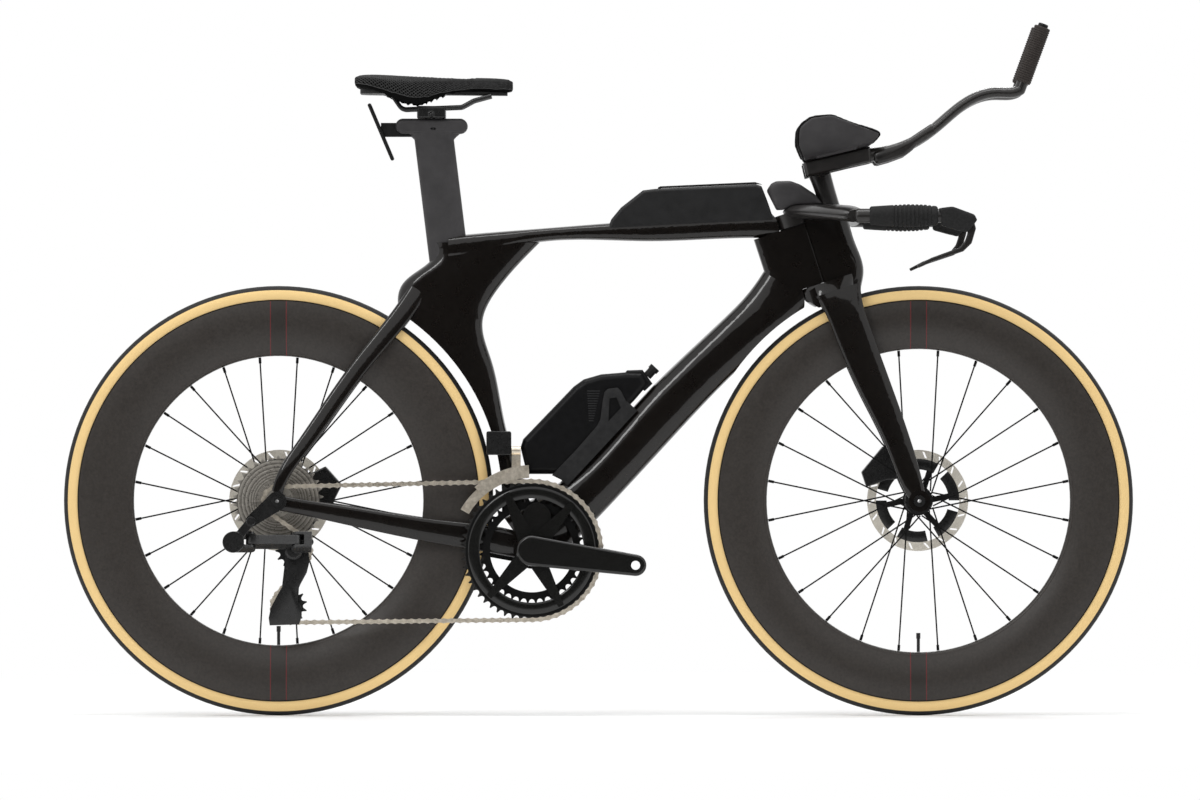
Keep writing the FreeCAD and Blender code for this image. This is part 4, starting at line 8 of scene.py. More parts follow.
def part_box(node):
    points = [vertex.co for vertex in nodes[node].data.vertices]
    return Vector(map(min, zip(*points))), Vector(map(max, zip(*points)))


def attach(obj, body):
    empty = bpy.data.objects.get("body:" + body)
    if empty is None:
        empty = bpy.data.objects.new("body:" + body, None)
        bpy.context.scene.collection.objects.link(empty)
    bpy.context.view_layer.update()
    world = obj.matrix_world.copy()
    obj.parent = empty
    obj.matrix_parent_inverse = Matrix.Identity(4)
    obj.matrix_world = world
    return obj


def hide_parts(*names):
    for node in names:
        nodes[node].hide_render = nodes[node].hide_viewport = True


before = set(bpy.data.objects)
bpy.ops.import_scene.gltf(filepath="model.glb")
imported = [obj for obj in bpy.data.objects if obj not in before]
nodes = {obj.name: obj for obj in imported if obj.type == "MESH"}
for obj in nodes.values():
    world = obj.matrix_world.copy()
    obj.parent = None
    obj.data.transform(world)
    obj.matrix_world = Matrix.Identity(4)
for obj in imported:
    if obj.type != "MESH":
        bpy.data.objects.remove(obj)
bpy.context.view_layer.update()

# Places that the finishes and the new pieces share, in metres
REAR_AXLE = Vector((-0.505, 0.0, 0.339))
FRONT_AXLE = Vector((0.505, 0.0, 0.339))
CRANK_AXLE = Vector((-0.105, 0.0, 0.261))
# Points closer than this are one
MERGE = 0.00002

# Finishes: where most values of a noise lie, depth of the grain, and how much finer the roughness drifts
NOISE_LOW = 0.3
NOISE_HIGH = 0.7
GRAIN_DEPTH = 0.0004
ROUGH_FINER = 2.3
# Tyre: radii over which the tan wall begins and ends
TYRE_FOOT = (0.3168, 0.3173)
TYRE_EDGE = (0.3319, 0.3325)
# Rim stripes: distance from the upright through the axle, half width, and the height where they start
STRIPE_OFFSET = 0.0125
STRIPE_HALF = 0.00065
STRIPE_START = 0.2
# Rotor: radii over which the black carrier gives way to the steel band
ROTOR_BAND = (0.0655, 0.0659)
# Larger chainring: foot of its teeth, and how fast the colour changes there
RING_TOOTH_FOOT = 0.1045
RING_FADE = 0.0006
# Cassette: teeth of each cog, radius for each tooth, tooth height, and the reach of the colour bands
COG_TEETH = (11, 12, 13, 14, 15, 17, 19, 21, 24, 27, 30, 34)
COG_STEP = 0.002021
COG_TIP = 0.003
COG_REACH = 0.08

# Padding: frames of swelling, and the stretch that shows the arm pads past the rims of their cups
SWELL_STEPS = 20
PAD_STRETCH = (1.2, 1.0, 1.15)
PAD_MIDDLE = (0.3654, 0.0, 0.8774)
# Worn copies: how far they are drawn in
WORN_DEPTH = 0.0003
# Saddle lattice: stations along it, strands across it, and how it lies on the padding
LATTICE_STATIONS = 40
LATTICE_STRANDS = 29
LATTICE_ABOVE = 2
LATTICE_AXIS_DROP = 0.022
LATTICE_REACH = 0.15
LATTICE_SWEEP = 118
LATTICE_RAYS = 2
LATTICE_LIFT = 0.0007
LATTICE_UNDERSIDE = 0.0
LATTICE_JUMP = 0.012
LATTICE_CHANNEL = (0.0, -0.012, 0.012)
LATTICE_SKIRT = 60
LATTICE_END = 0.003
STRUT = 0.0021

# Pole grips: foot and lean, and the height and radius of each step up a sleeve
POLE_FOOT = (0.66291, -0.057, 0.98603)
POLE_LEAN = 20
POLE_RIBS = {
    "start": ((0.012, 0.0112), (0.0125, 0.0122)),
    "form": ((0.0, 0.0122), (0.0006, 0.0131), (0.0022, 0.0131), (0.0028, 0.0122)),
    "first": 0.0145, "last": 0.0985, "pitch": 0.0036,
    "end": ((0.1015, 0.0129), (0.1035, 0.0129), (0.105, 0.0116), (0.105, 0.0092), (0.0925, 0.0092)),
}
# Bar grips: foot and lean, the swelling form, and the height and inset of each step
GRIP_FOOT = (0.42291, -0.203, 0.78523)
GRIP_LEAN = 90
GRIP_LENGTH = 0.106
GRIP_SWELL = 0.018
GRIP_FORM = (
    (0.0, 0.8, 0.8), (0.25, 0.9, 0.86), (0.55, 1.0, 0.92), (0.8, 0.97, 0.9), (1.0, 0.82, 0.82),
)
GRIP_RIBS = {
    "start": ((0, 0.002), (0.002, 0), (0.036, 0)),
    "form": ((0.0, 0.0013), (0.0012, 0), (0.0042, 0), (0.0054, 0.0013)),
    "first": 0.038, "last": 0.094, "pitch": 0.0066,
    "end": ((0.099, 0), (0.104, 0), (GRIP_LENGTH, 0.002)),
}
SLEEVE_SIDES = 48

# Bottle flank: half width, and the wing of the cage with its window
BOTTLE_HALF = 0.023
WING_GAP = 0.0022
WING_OUTLINE = (
    (-0.0735, 0.3794), (-0.0355, 0.4189), (-0.0024, 0.4568), (0.0031, 0.4678), (0.0063, 0.4947),
    (0.0095, 0.5105), (0.0150, 0.5155), (0.0300, 0.5176), (0.0355, 0.5121), (0.0450, 0.4931),
    (0.0521, 0.4797), (0.0229, 0.4505), (-0.0545, 0.3700),
)
WING_WINDOW = ((0.0174, 0.5002), (0.0284, 0.5023), (0.0379, 0.4789), (0.0153, 0.4552))
# Raised bars on the bottle: number, height of the top one, drop to the next, half height, and each end with its step
BARS = 13
BAR_TOP = 0.512
BAR_DROP = 0.0039
BAR_HALF = 0.0009
BAR_BACK = (-0.0182, 0.00026)
BAR_FRONT = (0.0024, -0.00085)
# Outer plate of the chain cage
CAGE_PLATE_SIDE = -0.0647
CAGE_PLATE = (
    (-0.4919, 0.2752), (-0.4698, 0.2752), (-0.4571, 0.2642), (-0.4540, 0.2452), (-0.4587, 0.2263),
    (-0.4682, 0.2089), (-0.4745, 0.1947), (-0.4761, 0.1836), (-0.4698, 0.1773), (-0.4666, 0.1694),
    (-0.4666, 0.1568), (-0.4713, 0.1449), (-0.5171, 0.1434), (-0.5187, 0.1552), (-0.5155, 0.1710),
    (-0.5029, 0.1947), (-0.4903, 0.2168), (-0.4895, 0.2294), (-0.4934, 0.2515),
)
# Deep root of each pole, seen from the side
POLE_SIDE = 0.057
POLE_ROOT = (
    (0.4294, 0.8871), (0.4504, 0.8956), (0.4715, 0.9020), (0.4884, 0.9094), (0.5054, 0.9209),
    (0.5266, 0.9348), (0.5350, 0.9188), (0.5138, 0.9072), (0.5012, 0.8988), (0.4935, 0.8905),
    (0.4821, 0.8819), (0.4589, 0.8734), (0.4357, 0.8670),
)
# Headset seal: middle of the gap on the steering axis, and the lean of that axis
SEAL_PLACE = (0.3095, 0.0, 0.7724)
SEAL_LEAN = -18
# Shroud on the outer face of the larger chainring
SHROUD_PLACE = (-0.105, -0.0497, 0.261)
# Rotor fins: number, inner and outer radius, half thickness, and the arc of each with its steps
FINS = 6
FIN_REACH = (0.049, 0.0662)
FIN_HALF = 0.0012
FIN_ARC = 44
FIN_STEPS = 12

# Floor: width, and the distances over which it fades into the surround
FLOOR_SIZE = 60
FLOOR_FADE = (1.1, 2.6)
# Dark flag behind the camera, seen only as a reflection: place, size, and the tongue from its foot
FLAG_PLACE = (0, -5.6, 1.0)
FLAG_SIZE = (9.0, 1.8, 1)
FLAG_FOOT = 0.5
FLAG_TONGUE = (0, 3.4, -0.09)
# Surround: strength as a light, and as it is seen
SURROUND_LIGHT = 0.8
SURROUND_SEEN = 1.0
# Lamps: name, place, width, height and power
LAMP_AIM = Vector((0, 0, 0.5))
LAMPS = (
    ("overhead_strip", (0.0, -0.3, 3.0), 3.0, 0.7, 36),
    ("side_strip", (-1.6, -3.2, 2.6), 0.5, 1.8, 26),
    ("far_strip", (1.2, 2.8, 2.4), 2.2, 0.5, 26),
)
# Camera: where it stands, how far off, and the width it takes in at the bicycle
CAMERA_ALONG = 0.0024
CAMERA_HEIGHT = 0.4979
CAMERA_AWAY = 16.0
CAMERA_SPAN = 1.8948
CAMERA_SENSOR = 36


# Material bench: every finish is a node tree on object coordinates
class Finish:
    def __init__(self, name):
        self.material = bpy.data.materials.new(name)
        self.material.use_nodes = True
        self.tree = self.material.node_tree
        self.shader = self.tree.nodes["Principled BSDF"]
        self.place = self.add("ShaderNodeTexCoord").outputs["Object"]

    def add(self, kind, **settings):
        node = self.tree.nodes.new(kind)
        for key, value in settings.items():
            setattr(node, key, value)
        return node

    def link(self, source, target):
        self.tree.links.new(source, target)

    def fixed(self, **values):
        for key, value in values.items():
            self.shader.inputs[key.replace("_", " ")].default_value = value
        return self

    def math(self, operation, *terms):
        node = self.add("ShaderNodeMath", operation=operation)
        for socket, term in zip(node.inputs, terms):
            if isinstance(term, (int, float)):
                socket.default_value = term
            else:
                self.link(term, socket)
        return node.outputs[0]

    def noise(self, scale, detail=3.0, stretch=(1, 1, 1)):
        mapping = self.add("ShaderNodeMapping")
        mapping.inputs["Scale"].default_value = stretch
        self.link(self.place, mapping.inputs["Vector"])
        node = self.add("ShaderNodeTexNoise")
        node.inputs["Scale"].default_value = scale
        node.inputs["Detail"].default_value = detail
        node.inputs["Roughness"].default_value = 0.55
        self.link(mapping.outputs[0], node.inputs["Vector"])
        return node.outputs["Fac"]

    def cells(self, scale):
        node = self.add("ShaderNodeTexVoronoi", feature="F1")
        node.inputs["Scale"].default_value = scale
        self.link(self.place, node.inputs["Vector"])
        return node.outputs["Distance"]

    def ramp(self, source, stops):
        node = self.add("ShaderNodeValToRGB")
        band = node.color_ramp
        while len(band.elements) < len(stops):
            band.elements.new(0.5)
        for element, (place, colour) in zip(band.elements, stops):
            element.position = place
            element.color = (*colour, 1.0)
        self.link(source, node.inputs["Fac"])
        return node.outputs["Color"]

    def shades(self, source, dark, light):
        return self.ramp(source, [(NOISE_LOW, dark), (NOISE_HIGH, light)])

    def span(self, source, low, high, to_low, to_high):
        node = self.add("ShaderNodeMapRange", clamp=True)
        ends = (("From Min", low), ("From Max", high), ("To Min", to_low), ("To Max", to_high))
        for key, value in ends:
            node.inputs[key].default_value = value
        self.link(source, node.inputs["Value"])
        return node.outputs["Result"]

    def mix(self, share, first, second):
        node = self.add("ShaderNodeMix", data_type="RGBA")
        for socket, value in ((node.inputs[6], first), (node.inputs[7], second)):
            if isinstance(value, tuple):
                socket.default_value = (*value, 1.0)
            else:
                self.link(value, socket)
        self.link(share, node.inputs[0])
        return node.outputs[2]

    def axis(self):
        node = self.add("ShaderNodeSeparateXYZ")
        self.link(self.place, node.inputs[0])
        return node.outputs[0], node.outputs[1], node.outputs[2]

    def length(self, first, second):
        squares = [self.math("MULTIPLY", side, side) for side in (first, second)]
        return self.math("SQRT", self.math("ADD", *squares))

    def radius_about(self, centre):
        x, _, z = self.axis()
        return self.length(self.math("SUBTRACT", x, centre.x), self.math("SUBTRACT", z, centre.z))

    def bump(self, height, strength, distance):
        node = self.add("ShaderNodeBump")
        node.inputs["Strength"].default_value = strength
        node.inputs["Distance"].default_value = distance
        self.link(height, node.inputs["Height"])
        self.link(node.outputs[0], self.shader.inputs["Normal"])

    def colour(self, source):
        self.link(source, self.shader.inputs["Base Color"])

    def roughness(self, source, low, high):
        self.link(self.span(source, NOISE_LOW, NOISE_HIGH, low, high), self.shader.inputs["Roughness"])

    def metallic(self, share, most):
        self.link(self.span(share, 0.0, 1.0, 0.0, most), self.shader.inputs["Metallic"])


def mottled(name, dark, light, scale, rough, spread, grain=0.0, grain_scale=900, **fixed):
    finish = Finish(name)
    finish.colour(finish.shades(finish.noise(scale), dark, light))
    finish.roughness(finish.noise(scale * ROUGH_FINER), rough - spread, rough + spread)
    if grain:
        finish.bump(finish.noise(grain_scale, detail=2.0), grain, GRAIN_DEPTH)
    return finish.fixed(**fixed)


# Gloss black paint with a warm metal flake under a clear coat
def frame_paint():
    finish = Finish("frame_paint")
    flake = finish.cells(2600)
    warm = finish.ramp(flake, [
        (0.0, (0.024, 0.016, 0.011)), (0.35, (0.0055, 0.0042, 0.0034)), (1.0, (0.002, 0.0016, 0.0014)),
    ])
    cover = finish.span(finish.noise(9), 0.35, 0.65, 0.0, 0.4)
    finish.colour(finish.mix(cover, warm, (0.003, 0.0024, 0.002)))
    finish.roughness(finish.noise(60), 0.26, 0.34)
    finish.bump(flake, strength=0.03, distance=0.0002)
    return finish.fixed(Specular_IOR_Level=0.1, Coat_Weight=0.7, Coat_Roughness=0.05)


# Tan walls between a black tread and a black foot
def tyre_rubber(name, centre):
    finish = Finish(name)
    radius = finish.radius_about(centre)
    thread = finish.noise(2400, detail=2.0, stretch=(1, 0.3, 1))
    tan = finish.ramp(thread, [(0.25, (0.74, 0.51, 0.21)), (0.75, (0.88, 0.64, 0.30))])
    tread = finish.shades(finish.noise(400), (0.010, 0.010, 0.010), (0.020, 0.019, 0.018))
    edge = finish.span(radius, *TYRE_EDGE, 0.0, 1.0)
    foot = finish.span(radius, *TYRE_FOOT, 1.0, 0.0)
    finish.colour(finish.mix(finish.math("MAXIMUM", edge, foot), tan, tread))
    finish.roughness(finish.noise(700), 0.62, 0.8)
    finish.bump(thread, strength=0.25, distance=0.0003)
    return finish.fixed(Specular_IOR_Level=0.35)


# Bare composite with a darker panel between two thin stripes, at the top and the bottom of the rim
def rim_composite(name, centre):
    finish = Finish(name)
    x, _, z = finish.axis()
    across = finish.math("ABSOLUTE", finish.math("SUBTRACT", x, centre.x))
    up = finish.math("ABSOLUTE", finish.math("SUBTRACT", z, centre.z))
    fibre = finish.noise(240, detail=4.0)
    cloth = finish.shades(fibre, (0.021, 0.0172, 0.0145), (0.032, 0.0265, 0.0225))
    line = finish.math("ABSOLUTE", finish.math("SUBTRACT", across, STRIPE_OFFSET))
    high = finish.math("GREATER_THAN", up, STRIPE_START)
    stripe = finish.math("MULTIPLY", finish.math("LESS_THAN", line, STRIPE_HALF), high)
    inner = finish.math("MULTIPLY", finish.math("LESS_THAN", across, STRIPE_OFFSET), high)
    dark = finish.mix(finish.math("MULTIPLY", inner, 0.6), cloth, (0.016, 0.013, 0.011))
    finish.colour(finish.mix(stripe, dark, (0.12, 0.010, 0.012)))
    finish.roughness(finish.noise(90), 0.36, 0.46)
    finish.bump(fibre, strength=0.05, distance=0.0003)
    return finish.fixed(Specular_IOR_Level=0.35, Coat_Weight=0.2, Coat_Roughness=0.3)


# Steel band on a black carrier
def rotor_finish(name, centre):
    finish = Finish(name)
    radius = finish.radius_about(centre)
    brushed = finish.noise(700, detail=2.0)
    band = finish.shades(brushed, (0.62, 0.58, 0.50), (0.78, 0.74, 0.66))
    share = finish.span(radius, *ROTOR_BAND, 0.0, 1.0)
    finish.colour(finish.mix(share, (0.008, 0.008, 0.008), band))
    finish.roughness(brushed, 0.28, 0.42)
    finish.metallic(share, 0.45)
    finish.bump(brushed, strength=0.08, distance=0.0002)
    return finish.fixed(Specular_IOR_Level=0.15)


# Black ring faces with worn, paler teeth
def ring_finish(name, centre, tooth_foot):
    finish = Finish(name)
    radius = finish.radius_about(centre)
    worn = finish.shades(finish.noise(500), (0.016, 0.016, 0.016), (0.035, 0.034, 0.033))
    share = finish.span(radius, tooth_foot - RING_FADE, tooth_foot, 0.0, 1.0)
    finish.colour(finish.mix(share, (0.005, 0.005, 0.005), worn))
    finish.metallic(share, 0.4)
    finish.roughness(finish.noise(350), 0.26, 0.38)
    finish.bump(finish.noise(900, detail=2.0), strength=0.05, distance=0.0002)
    return finish.fixed(Specular_IOR_Level=0.12)


# Stepped cogs: each one darkens towards the foot of its teeth, painted shade of the gap behind the next smaller cog,
# and dark spots are painted shade of the holes in the cogs
def cog_finish(name, centre):
    finish = Finish(name)
    radius = finish.radius_about(centre)
    tips = [0.0] + [teeth * COG_STEP + COG_TIP for teeth in COG_TEETH]
    # Each band runs from painted shade at the foot of the teeth to the steel's own colour at their tips
    stops = []
    for foot, tip in zip(tips, tips[1:]):
        stops.append((foot / COG_REACH + 0.002, (0.13, 0.12, 0.105)))
        stops.append((tip / COG_REACH, (0.50, 0.47, 0.42)))
    steps = finish.ramp(finish.span(radius, 0.0, COG_REACH, 0.0, 1.0), stops)
    # Dark spots: painted shade of the holes in the cogs
    painted_hole_shade = finish.span(finish.cells(240), 0.12, 0.3, 0.75, 0.0)
    finish.colour(finish.mix(painted_hole_shade, steps, (0.035, 0.032, 0.03)))
    finish.roughness(finish.noise(350), 0.3, 0.42)
    finish.bump(finish.noise(900, detail=2.0), strength=0.06, distance=0.0002)
    return finish.fixed(Metallic=0.6)


PAINT = frame_paint()
MATTE = mottled(
    "matte_composite", (0.030, 0.0285, 0.0295), (0.042, 0.040, 0.0415), scale=40, rough=0.50, spread=0.05,
    grain=0.10, grain_scale=1400, Specular_IOR_Level=0.3)
BOX = mottled(
    "storage_composite", (0.006, 0.006, 0.0062), (0.010, 0.010, 0.0104), scale=40, rough=0.46, spread=0.05,
    grain=0.10, grain_scale=1400, Specular_IOR_Level=0.3)
BAR = mottled(
    "bar_composite", (0.008, 0.007, 0.0065), (0.014, 0.012, 0.011), scale=60, rough=0.36, spread=0.05,
    grain=0.06, Specular_IOR_Level=0.35, Coat_Weight=0.3, Coat_Roughness=0.2)
RUBBER = mottled(
    "grip_rubber", (0.010, 0.010, 0.010), (0.018, 0.018, 0.018), scale=300, rough=0.74, spread=0.06,
    grain=0.35, grain_scale=1600, Specular_IOR_Level=0.2)
POLE_RUBBER = mottled(
    "pole_rubber", (0.028, 0.0235, 0.0215), (0.042, 0.0355, 0.0325), scale=300, rough=0.72, spread=0.06,
    grain=0.35, grain_scale=1600, Specular_IOR_Level=0.2)
FOAM = mottled(
    "pad_foam", (0.004, 0.004, 0.004), (0.008, 0.008, 0.008), scale=200, rough=0.88, spread=0.06,
    grain=0.5, grain_scale=1800, Specular_IOR_Level=0.08)
# Saddle padding: black foam made far darker than the struts, painted shade of the lattice's depths
LATTICE = mottled(
    "saddle_foam", (0.002, 0.002, 0.002), (0.004, 0.004, 0.004), scale=250, rough=0.75, spread=0.06,
    grain=0.2, grain_scale=1500, Specular_IOR_Level=0.05)
STRUTS = mottled(
    "saddle_struts", (0.028, 0.028, 0.028), (0.050, 0.050, 0.050), scale=180, rough=0.5, spread=0.06,
    grain=0.1, grain_scale=1500, Specular_IOR_Level=0.25)
ALLOY = mottled(
    "black_alloy", (0.006, 0.006, 0.006), (0.011, 0.011, 0.011), scale=120, rough=0.30, spread=0.05,
    grain=0.05, Specular_IOR_Level=0.3, Coat_Weight=0.25, Coat_Roughness=0.15)
SPOKE = mottled(
    "spoke_black", (0.003, 0.003, 0.003), (0.006, 0.006, 0.006), scale=120, rough=0.35, spread=0.05,
    grain=0.03, Specular_IOR_Level=0.08)
GLOSS_ALLOY = mottled(
    "crank_gloss", (0.0055, 0.0055, 0.005), (0.007, 0.007, 0.0065), scale=120, rough=0.22, spread=0.04,
    grain=0.01, Specular_IOR_Level=0.2, Coat_Weight=0.6, Coat_Roughness=0.08)
PLASTIC = mottled(
    "small_plastic", (0.007, 0.007, 0.007), (0.013, 0.013, 0.013), scale=150, rough=0.46, spread=0.05,
    grain=0.12, grain_scale=1500, Specular_IOR_Level=0.15)
STEEL = mottled(
    "bright_steel", (0.30, 0.285, 0.26), (0.52, 0.49, 0.45), scale=180, rough=0.34, spread=0.06,
    grain=0.06, Metallic=1.0)
CHAIN = mottled(
    "chain_steel", (0.55, 0.49, 0.40), (0.82, 0.75, 0.64), scale=160, rough=0.36, spread=0.06,
    grain=0.04, Metallic=1.0)
BOTTLE = mottled(
    "bottle_plastic", (0.003, 0.003, 0.0033), (0.005, 0.005, 0.0055), scale=90, rough=0.36, spread=0.04,
    grain=0.10, grain_scale=1700, Specular_IOR_Level=0.15)
CAGE = mottled(
    "cage_plastic", (0.011, 0.011, 0.0115), (0.018, 0.018, 0.0185), scale=130, rough=0.5, spread=0.05,
    grain=0.2, grain_scale=1500, Specular_IOR_Level=0.2)

FINISHES = {
    "main_frame": PAINT, "seat_stays": PAINT, "chain_stays": PAINT, "fork": PAINT,
    "derailleur_hanger": ALLOY, "bottom_bracket": ALLOY, "headset_bearings": STEEL,
    "bottle_cage": CAGE, "storage_box": BOX, "storage_lid": BOX,
    "rear_caliper": ALLOY, "front_caliper": ALLOY, "rear_axle": ALLOY, "front_axle": ALLOY,
    "front_derailleur": ALLOY, "front_derailleur_cage": CHAIN,
    "derailleur_body": ALLOY, "derailleur_links": ALLOY, "derailleur_knuckle": ALLOY,
    "derailleur_cage": ALLOY, "guide_pulley": PLASTIC, "tension_pulley": PLASTIC, "chain": CHAIN,
    "seatpost": MATTE, "saddle_clamp": ALLOY, "saddle_rails": ALLOY, "saddle_base": PLASTIC,
    "saddle_cover": LATTICE, "rear_bracket": PLASTIC, "bottle": BOTTLE, "bottle_valve": PLASTIC,
    "right_crank": GLOSS_ALLOY, "left_crank": GLOSS_ALLOY,
    "cassette": cog_finish("cassette_cogs", REAR_AXLE),
    "chainrings": ring_finish("chainring_faces", CRANK_AXLE, RING_TOOTH_FOOT),
    "base_bar": BAR, "stem_cover": MATTE, "bar_grips": RUBBER, "lever_bodies": RUBBER,
    "aero_riser": BAR, "arm_cups": BAR, "arm_pads": FOAM, "extensions": BAR, "extension_grips": RUBBER,
    "right_brake_lever": BAR, "left_brake_lever": BAR,
    "right_shift_button": PLASTIC, "left_shift_button": PLASTIC,
}
for end, axle in (("rear", REAR_AXLE), ("front", FRONT_AXLE)):
    FINISHES[end + "_tyre"] = tyre_rubber(end + "_tyre_rubber", axle)
    FINISHES[end + "_rim"] = rim_composite(end + "_rim_composite", axle)
    FINISHES[end + "_rotor"] = rotor_finish(end + "_rotor_steel", axle)
    FINISHES[end + "_spokes"] = SPOKE
    FINISHES[end + "_hub"] = ALLOY
    FINISHES[end + "_valve"] = ALLOY
for label, finish in FINISHES.items():
    for held in nodes[label].material_slots:
        held.material = finish.material


# Bench: one piece at a time is selected, and every finished piece keeps its place in its mesh
def take(piece):
    bpy.ops.object.select_all(action="DESELECT")
    piece.select_set(True)
    bpy.context.view_layer.objects.active = piece


def open_mesh(piece):
    take(piece)
    bpy.ops.object.mode_set(mode="EDIT")
    bpy.ops.mesh.select_all(action="SELECT")


def close_mesh():
    bpy.ops.object.mode_set(mode="OBJECT")


def apply_place(piece):
    take(piece)
    bpy.ops.object.transform_apply(location=True, rotation=True, scale=True)


def apply_modifier(piece, kind, **settings):
    take(piece)
    modifier = piece.modifiers.new(kind.lower(), kind)
    for key, value in settings.items():
        setattr(modifier, key, value)
    bpy.ops.object.modifier_apply(modifier=modifier.name)


def joined(pieces, name):
    take(pieces[0])
    for piece in pieces:
        piece.select_set(True)
    bpy.ops.object.join()
    pieces[0].name = name
    return pieces[0]


def dress(thing, finish):
    thing.data.materials.clear()
    thing.data.materials.append(finish.material)


def finish_piece(piece, finish, body, smooth=40):
    take(piece)
    bpy.ops.object.shade_smooth_by_angle(angle=math.radians(smooth))
    dress(piece, finish)
    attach(piece, body)


def copy_of(label, name):
    piece = bpy.data.objects.new(name, nodes[label].data.copy())
    bpy.context.collection.objects.link(piece)
    open_mesh(piece)
    bpy.ops.mesh.remove_doubles(threshold=MERGE)
    close_mesh()
    return piece


def draw_in(piece, depth):
    open_mesh(piece)
    bpy.ops.transform.shrink_fatten(value=-depth)
    close_mesh()


# Padding: a remeshed copy, drawn in a little and swollen by air pressure, no further than the cap
def swollen_copy(label, name, voxel, slack, cap, stretch=(1, 1, 1), middle=(0, 0, 0)):
    piece = copy_of(label, name)
    open_mesh(piece)
    bpy.ops.transform.resize(value=stretch, center_override=middle)
    close_mesh()
    apply_modifier(piece, "REMESH", mode="VOXEL", voxel_size=voxel)
    apply_modifier(piece, "SMOOTH", factor=0.5, iterations=3)
    draw_in(piece, slack)
    start = [vertex.co.copy() for vertex in piece.data.vertices]
    cloth = piece.modifiers.new("swelling", "CLOTH")
    cloth.settings.quality = 5
    cloth.settings.use_pressure = True
    cloth.settings.uniform_pressure_force = 4
    cloth.settings.effector_weights.gravity = 0
    for step in range(1, SWELL_STEPS + 1):
        bpy.context.scene.frame_set(step)
    take(piece)
    bpy.ops.object.modifier_apply(modifier=cloth.name)
    for vertex, place in zip(piece.data.vertices, start):
        move = vertex.co - place
        vertex.co = place + move * min(1.0, cap / max(move.length, MERGE))
    bpy.context.scene.frame_set(1)
    apply_modifier(piece, "SUBSURF", levels=1, render_levels=1)
    return piece


# Mouldings and forgings with every edge worn round: node, body, finish, slot, voxel and rounds of smoothing
SOFT_EDGES = (
    ("lever_bodies", "steering", RUBBER, "grip_rubber", 0.0015, 36),
    ("right_brake_lever", "right_brake_lever", BAR, "matte_composite", 0.0009, 8),
    ("left_brake_lever", "left_brake_lever", BAR, "matte_composite", 0.0009, 8),
    ("stem_cover", "steering", MATTE, "matte_composite", 0.0018, 12),
    ("arm_cups", "steering", MATTE, "matte_composite", 0.0013, 6),
    ("front_derailleur", "frame", ALLOY, "black_alloy", 0.0011, 8),
    ("rear_caliper", "frame", ALLOY, "black_alloy", 0.0013, 9),
    ("front_caliper", "steering", ALLOY, "black_alloy", 0.0013, 9),
    ("derailleur_body", "frame", ALLOY, "black_alloy", 0.0007, 4),
    ("derailleur_links", "derailleur_links", ALLOY, "black_alloy", 0.0007, 4),
    ("derailleur_knuckle", "derailleur_knuckle", ALLOY, "black_alloy", 0.0007, 4),
    ("saddle_clamp", "seat", ALLOY, "black_alloy", 0.0011, 8),
)


def soft_edges():
    for label, body, finish, slot, voxel, rounds in SOFT_EDGES:
        piece = copy_of(label, "worn_" + label)
        apply_modifier(piece, "REMESH", mode="VOXEL", voxel_size=voxel)
        apply_modifier(piece, "SMOOTH", factor=0.5, iterations=rounds)
        draw_in(piece, WORN_DEPTH)
        finish_piece(piece, finish, body, smooth=80)
        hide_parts(label)


# Saddle: swollen padding under a lattice of printed struts; the padding is coloured far darker than the struts as
# painted shade of the lattice's depths
def saddle_profile(tree, along):
    """Points over the saddle at one station, from the right skirt to the left."""
    down = Vector((0, 0, -1))
    falls = [tree.ray_cast(Vector((along, across, LATTICE_ABOVE)), down)[0] for across in LATTICE_CHANNEL]
    if None in falls:
        return []
    axis = Vector((along, 0, max(fall.z for fall in falls) - LATTICE_AXIS_DROP))
    sides = []
    for side in (-1, 1):
        points = []
        for step in range(LATTICE_RAYS * LATTICE_SWEEP):
            turn = math.radians(step / LATTICE_RAYS)
            out = Vector((0, side * math.sin(turn), math.cos(turn)))
            place, normal, _, _ = tree.ray_cast(axis + out * LATTICE_REACH, -out)
            if place is None or normal.z < LATTICE_UNDERSIDE:
                break
            if step > LATTICE_RAYS * LATTICE_SKIRT and (place - points[-1]).length > LATTICE_JUMP:
                break
            points.append(place + normal * LATTICE_LIFT)
        sides.append(points)
    right, left = sides
    return right[:0:-1] + left


def along_profile(points, count):
    """The same number of even steps along any profile."""
    runs = [0.0]
    for first, second in zip(points, points[1:]):
        runs.append(runs[-1] + (second - first).length)
    places = []
    for step in range(count):
        want = runs[-1] * step / (count - 1)
        index = max(1, next(k for k, run in enumerate(runs) if run >= want - MERGE))
        share = (want - runs[index - 1]) / max(runs[index] - runs[index - 1], MERGE)
        places.append(points[index - 1].lerp(points[index], share))
    return places


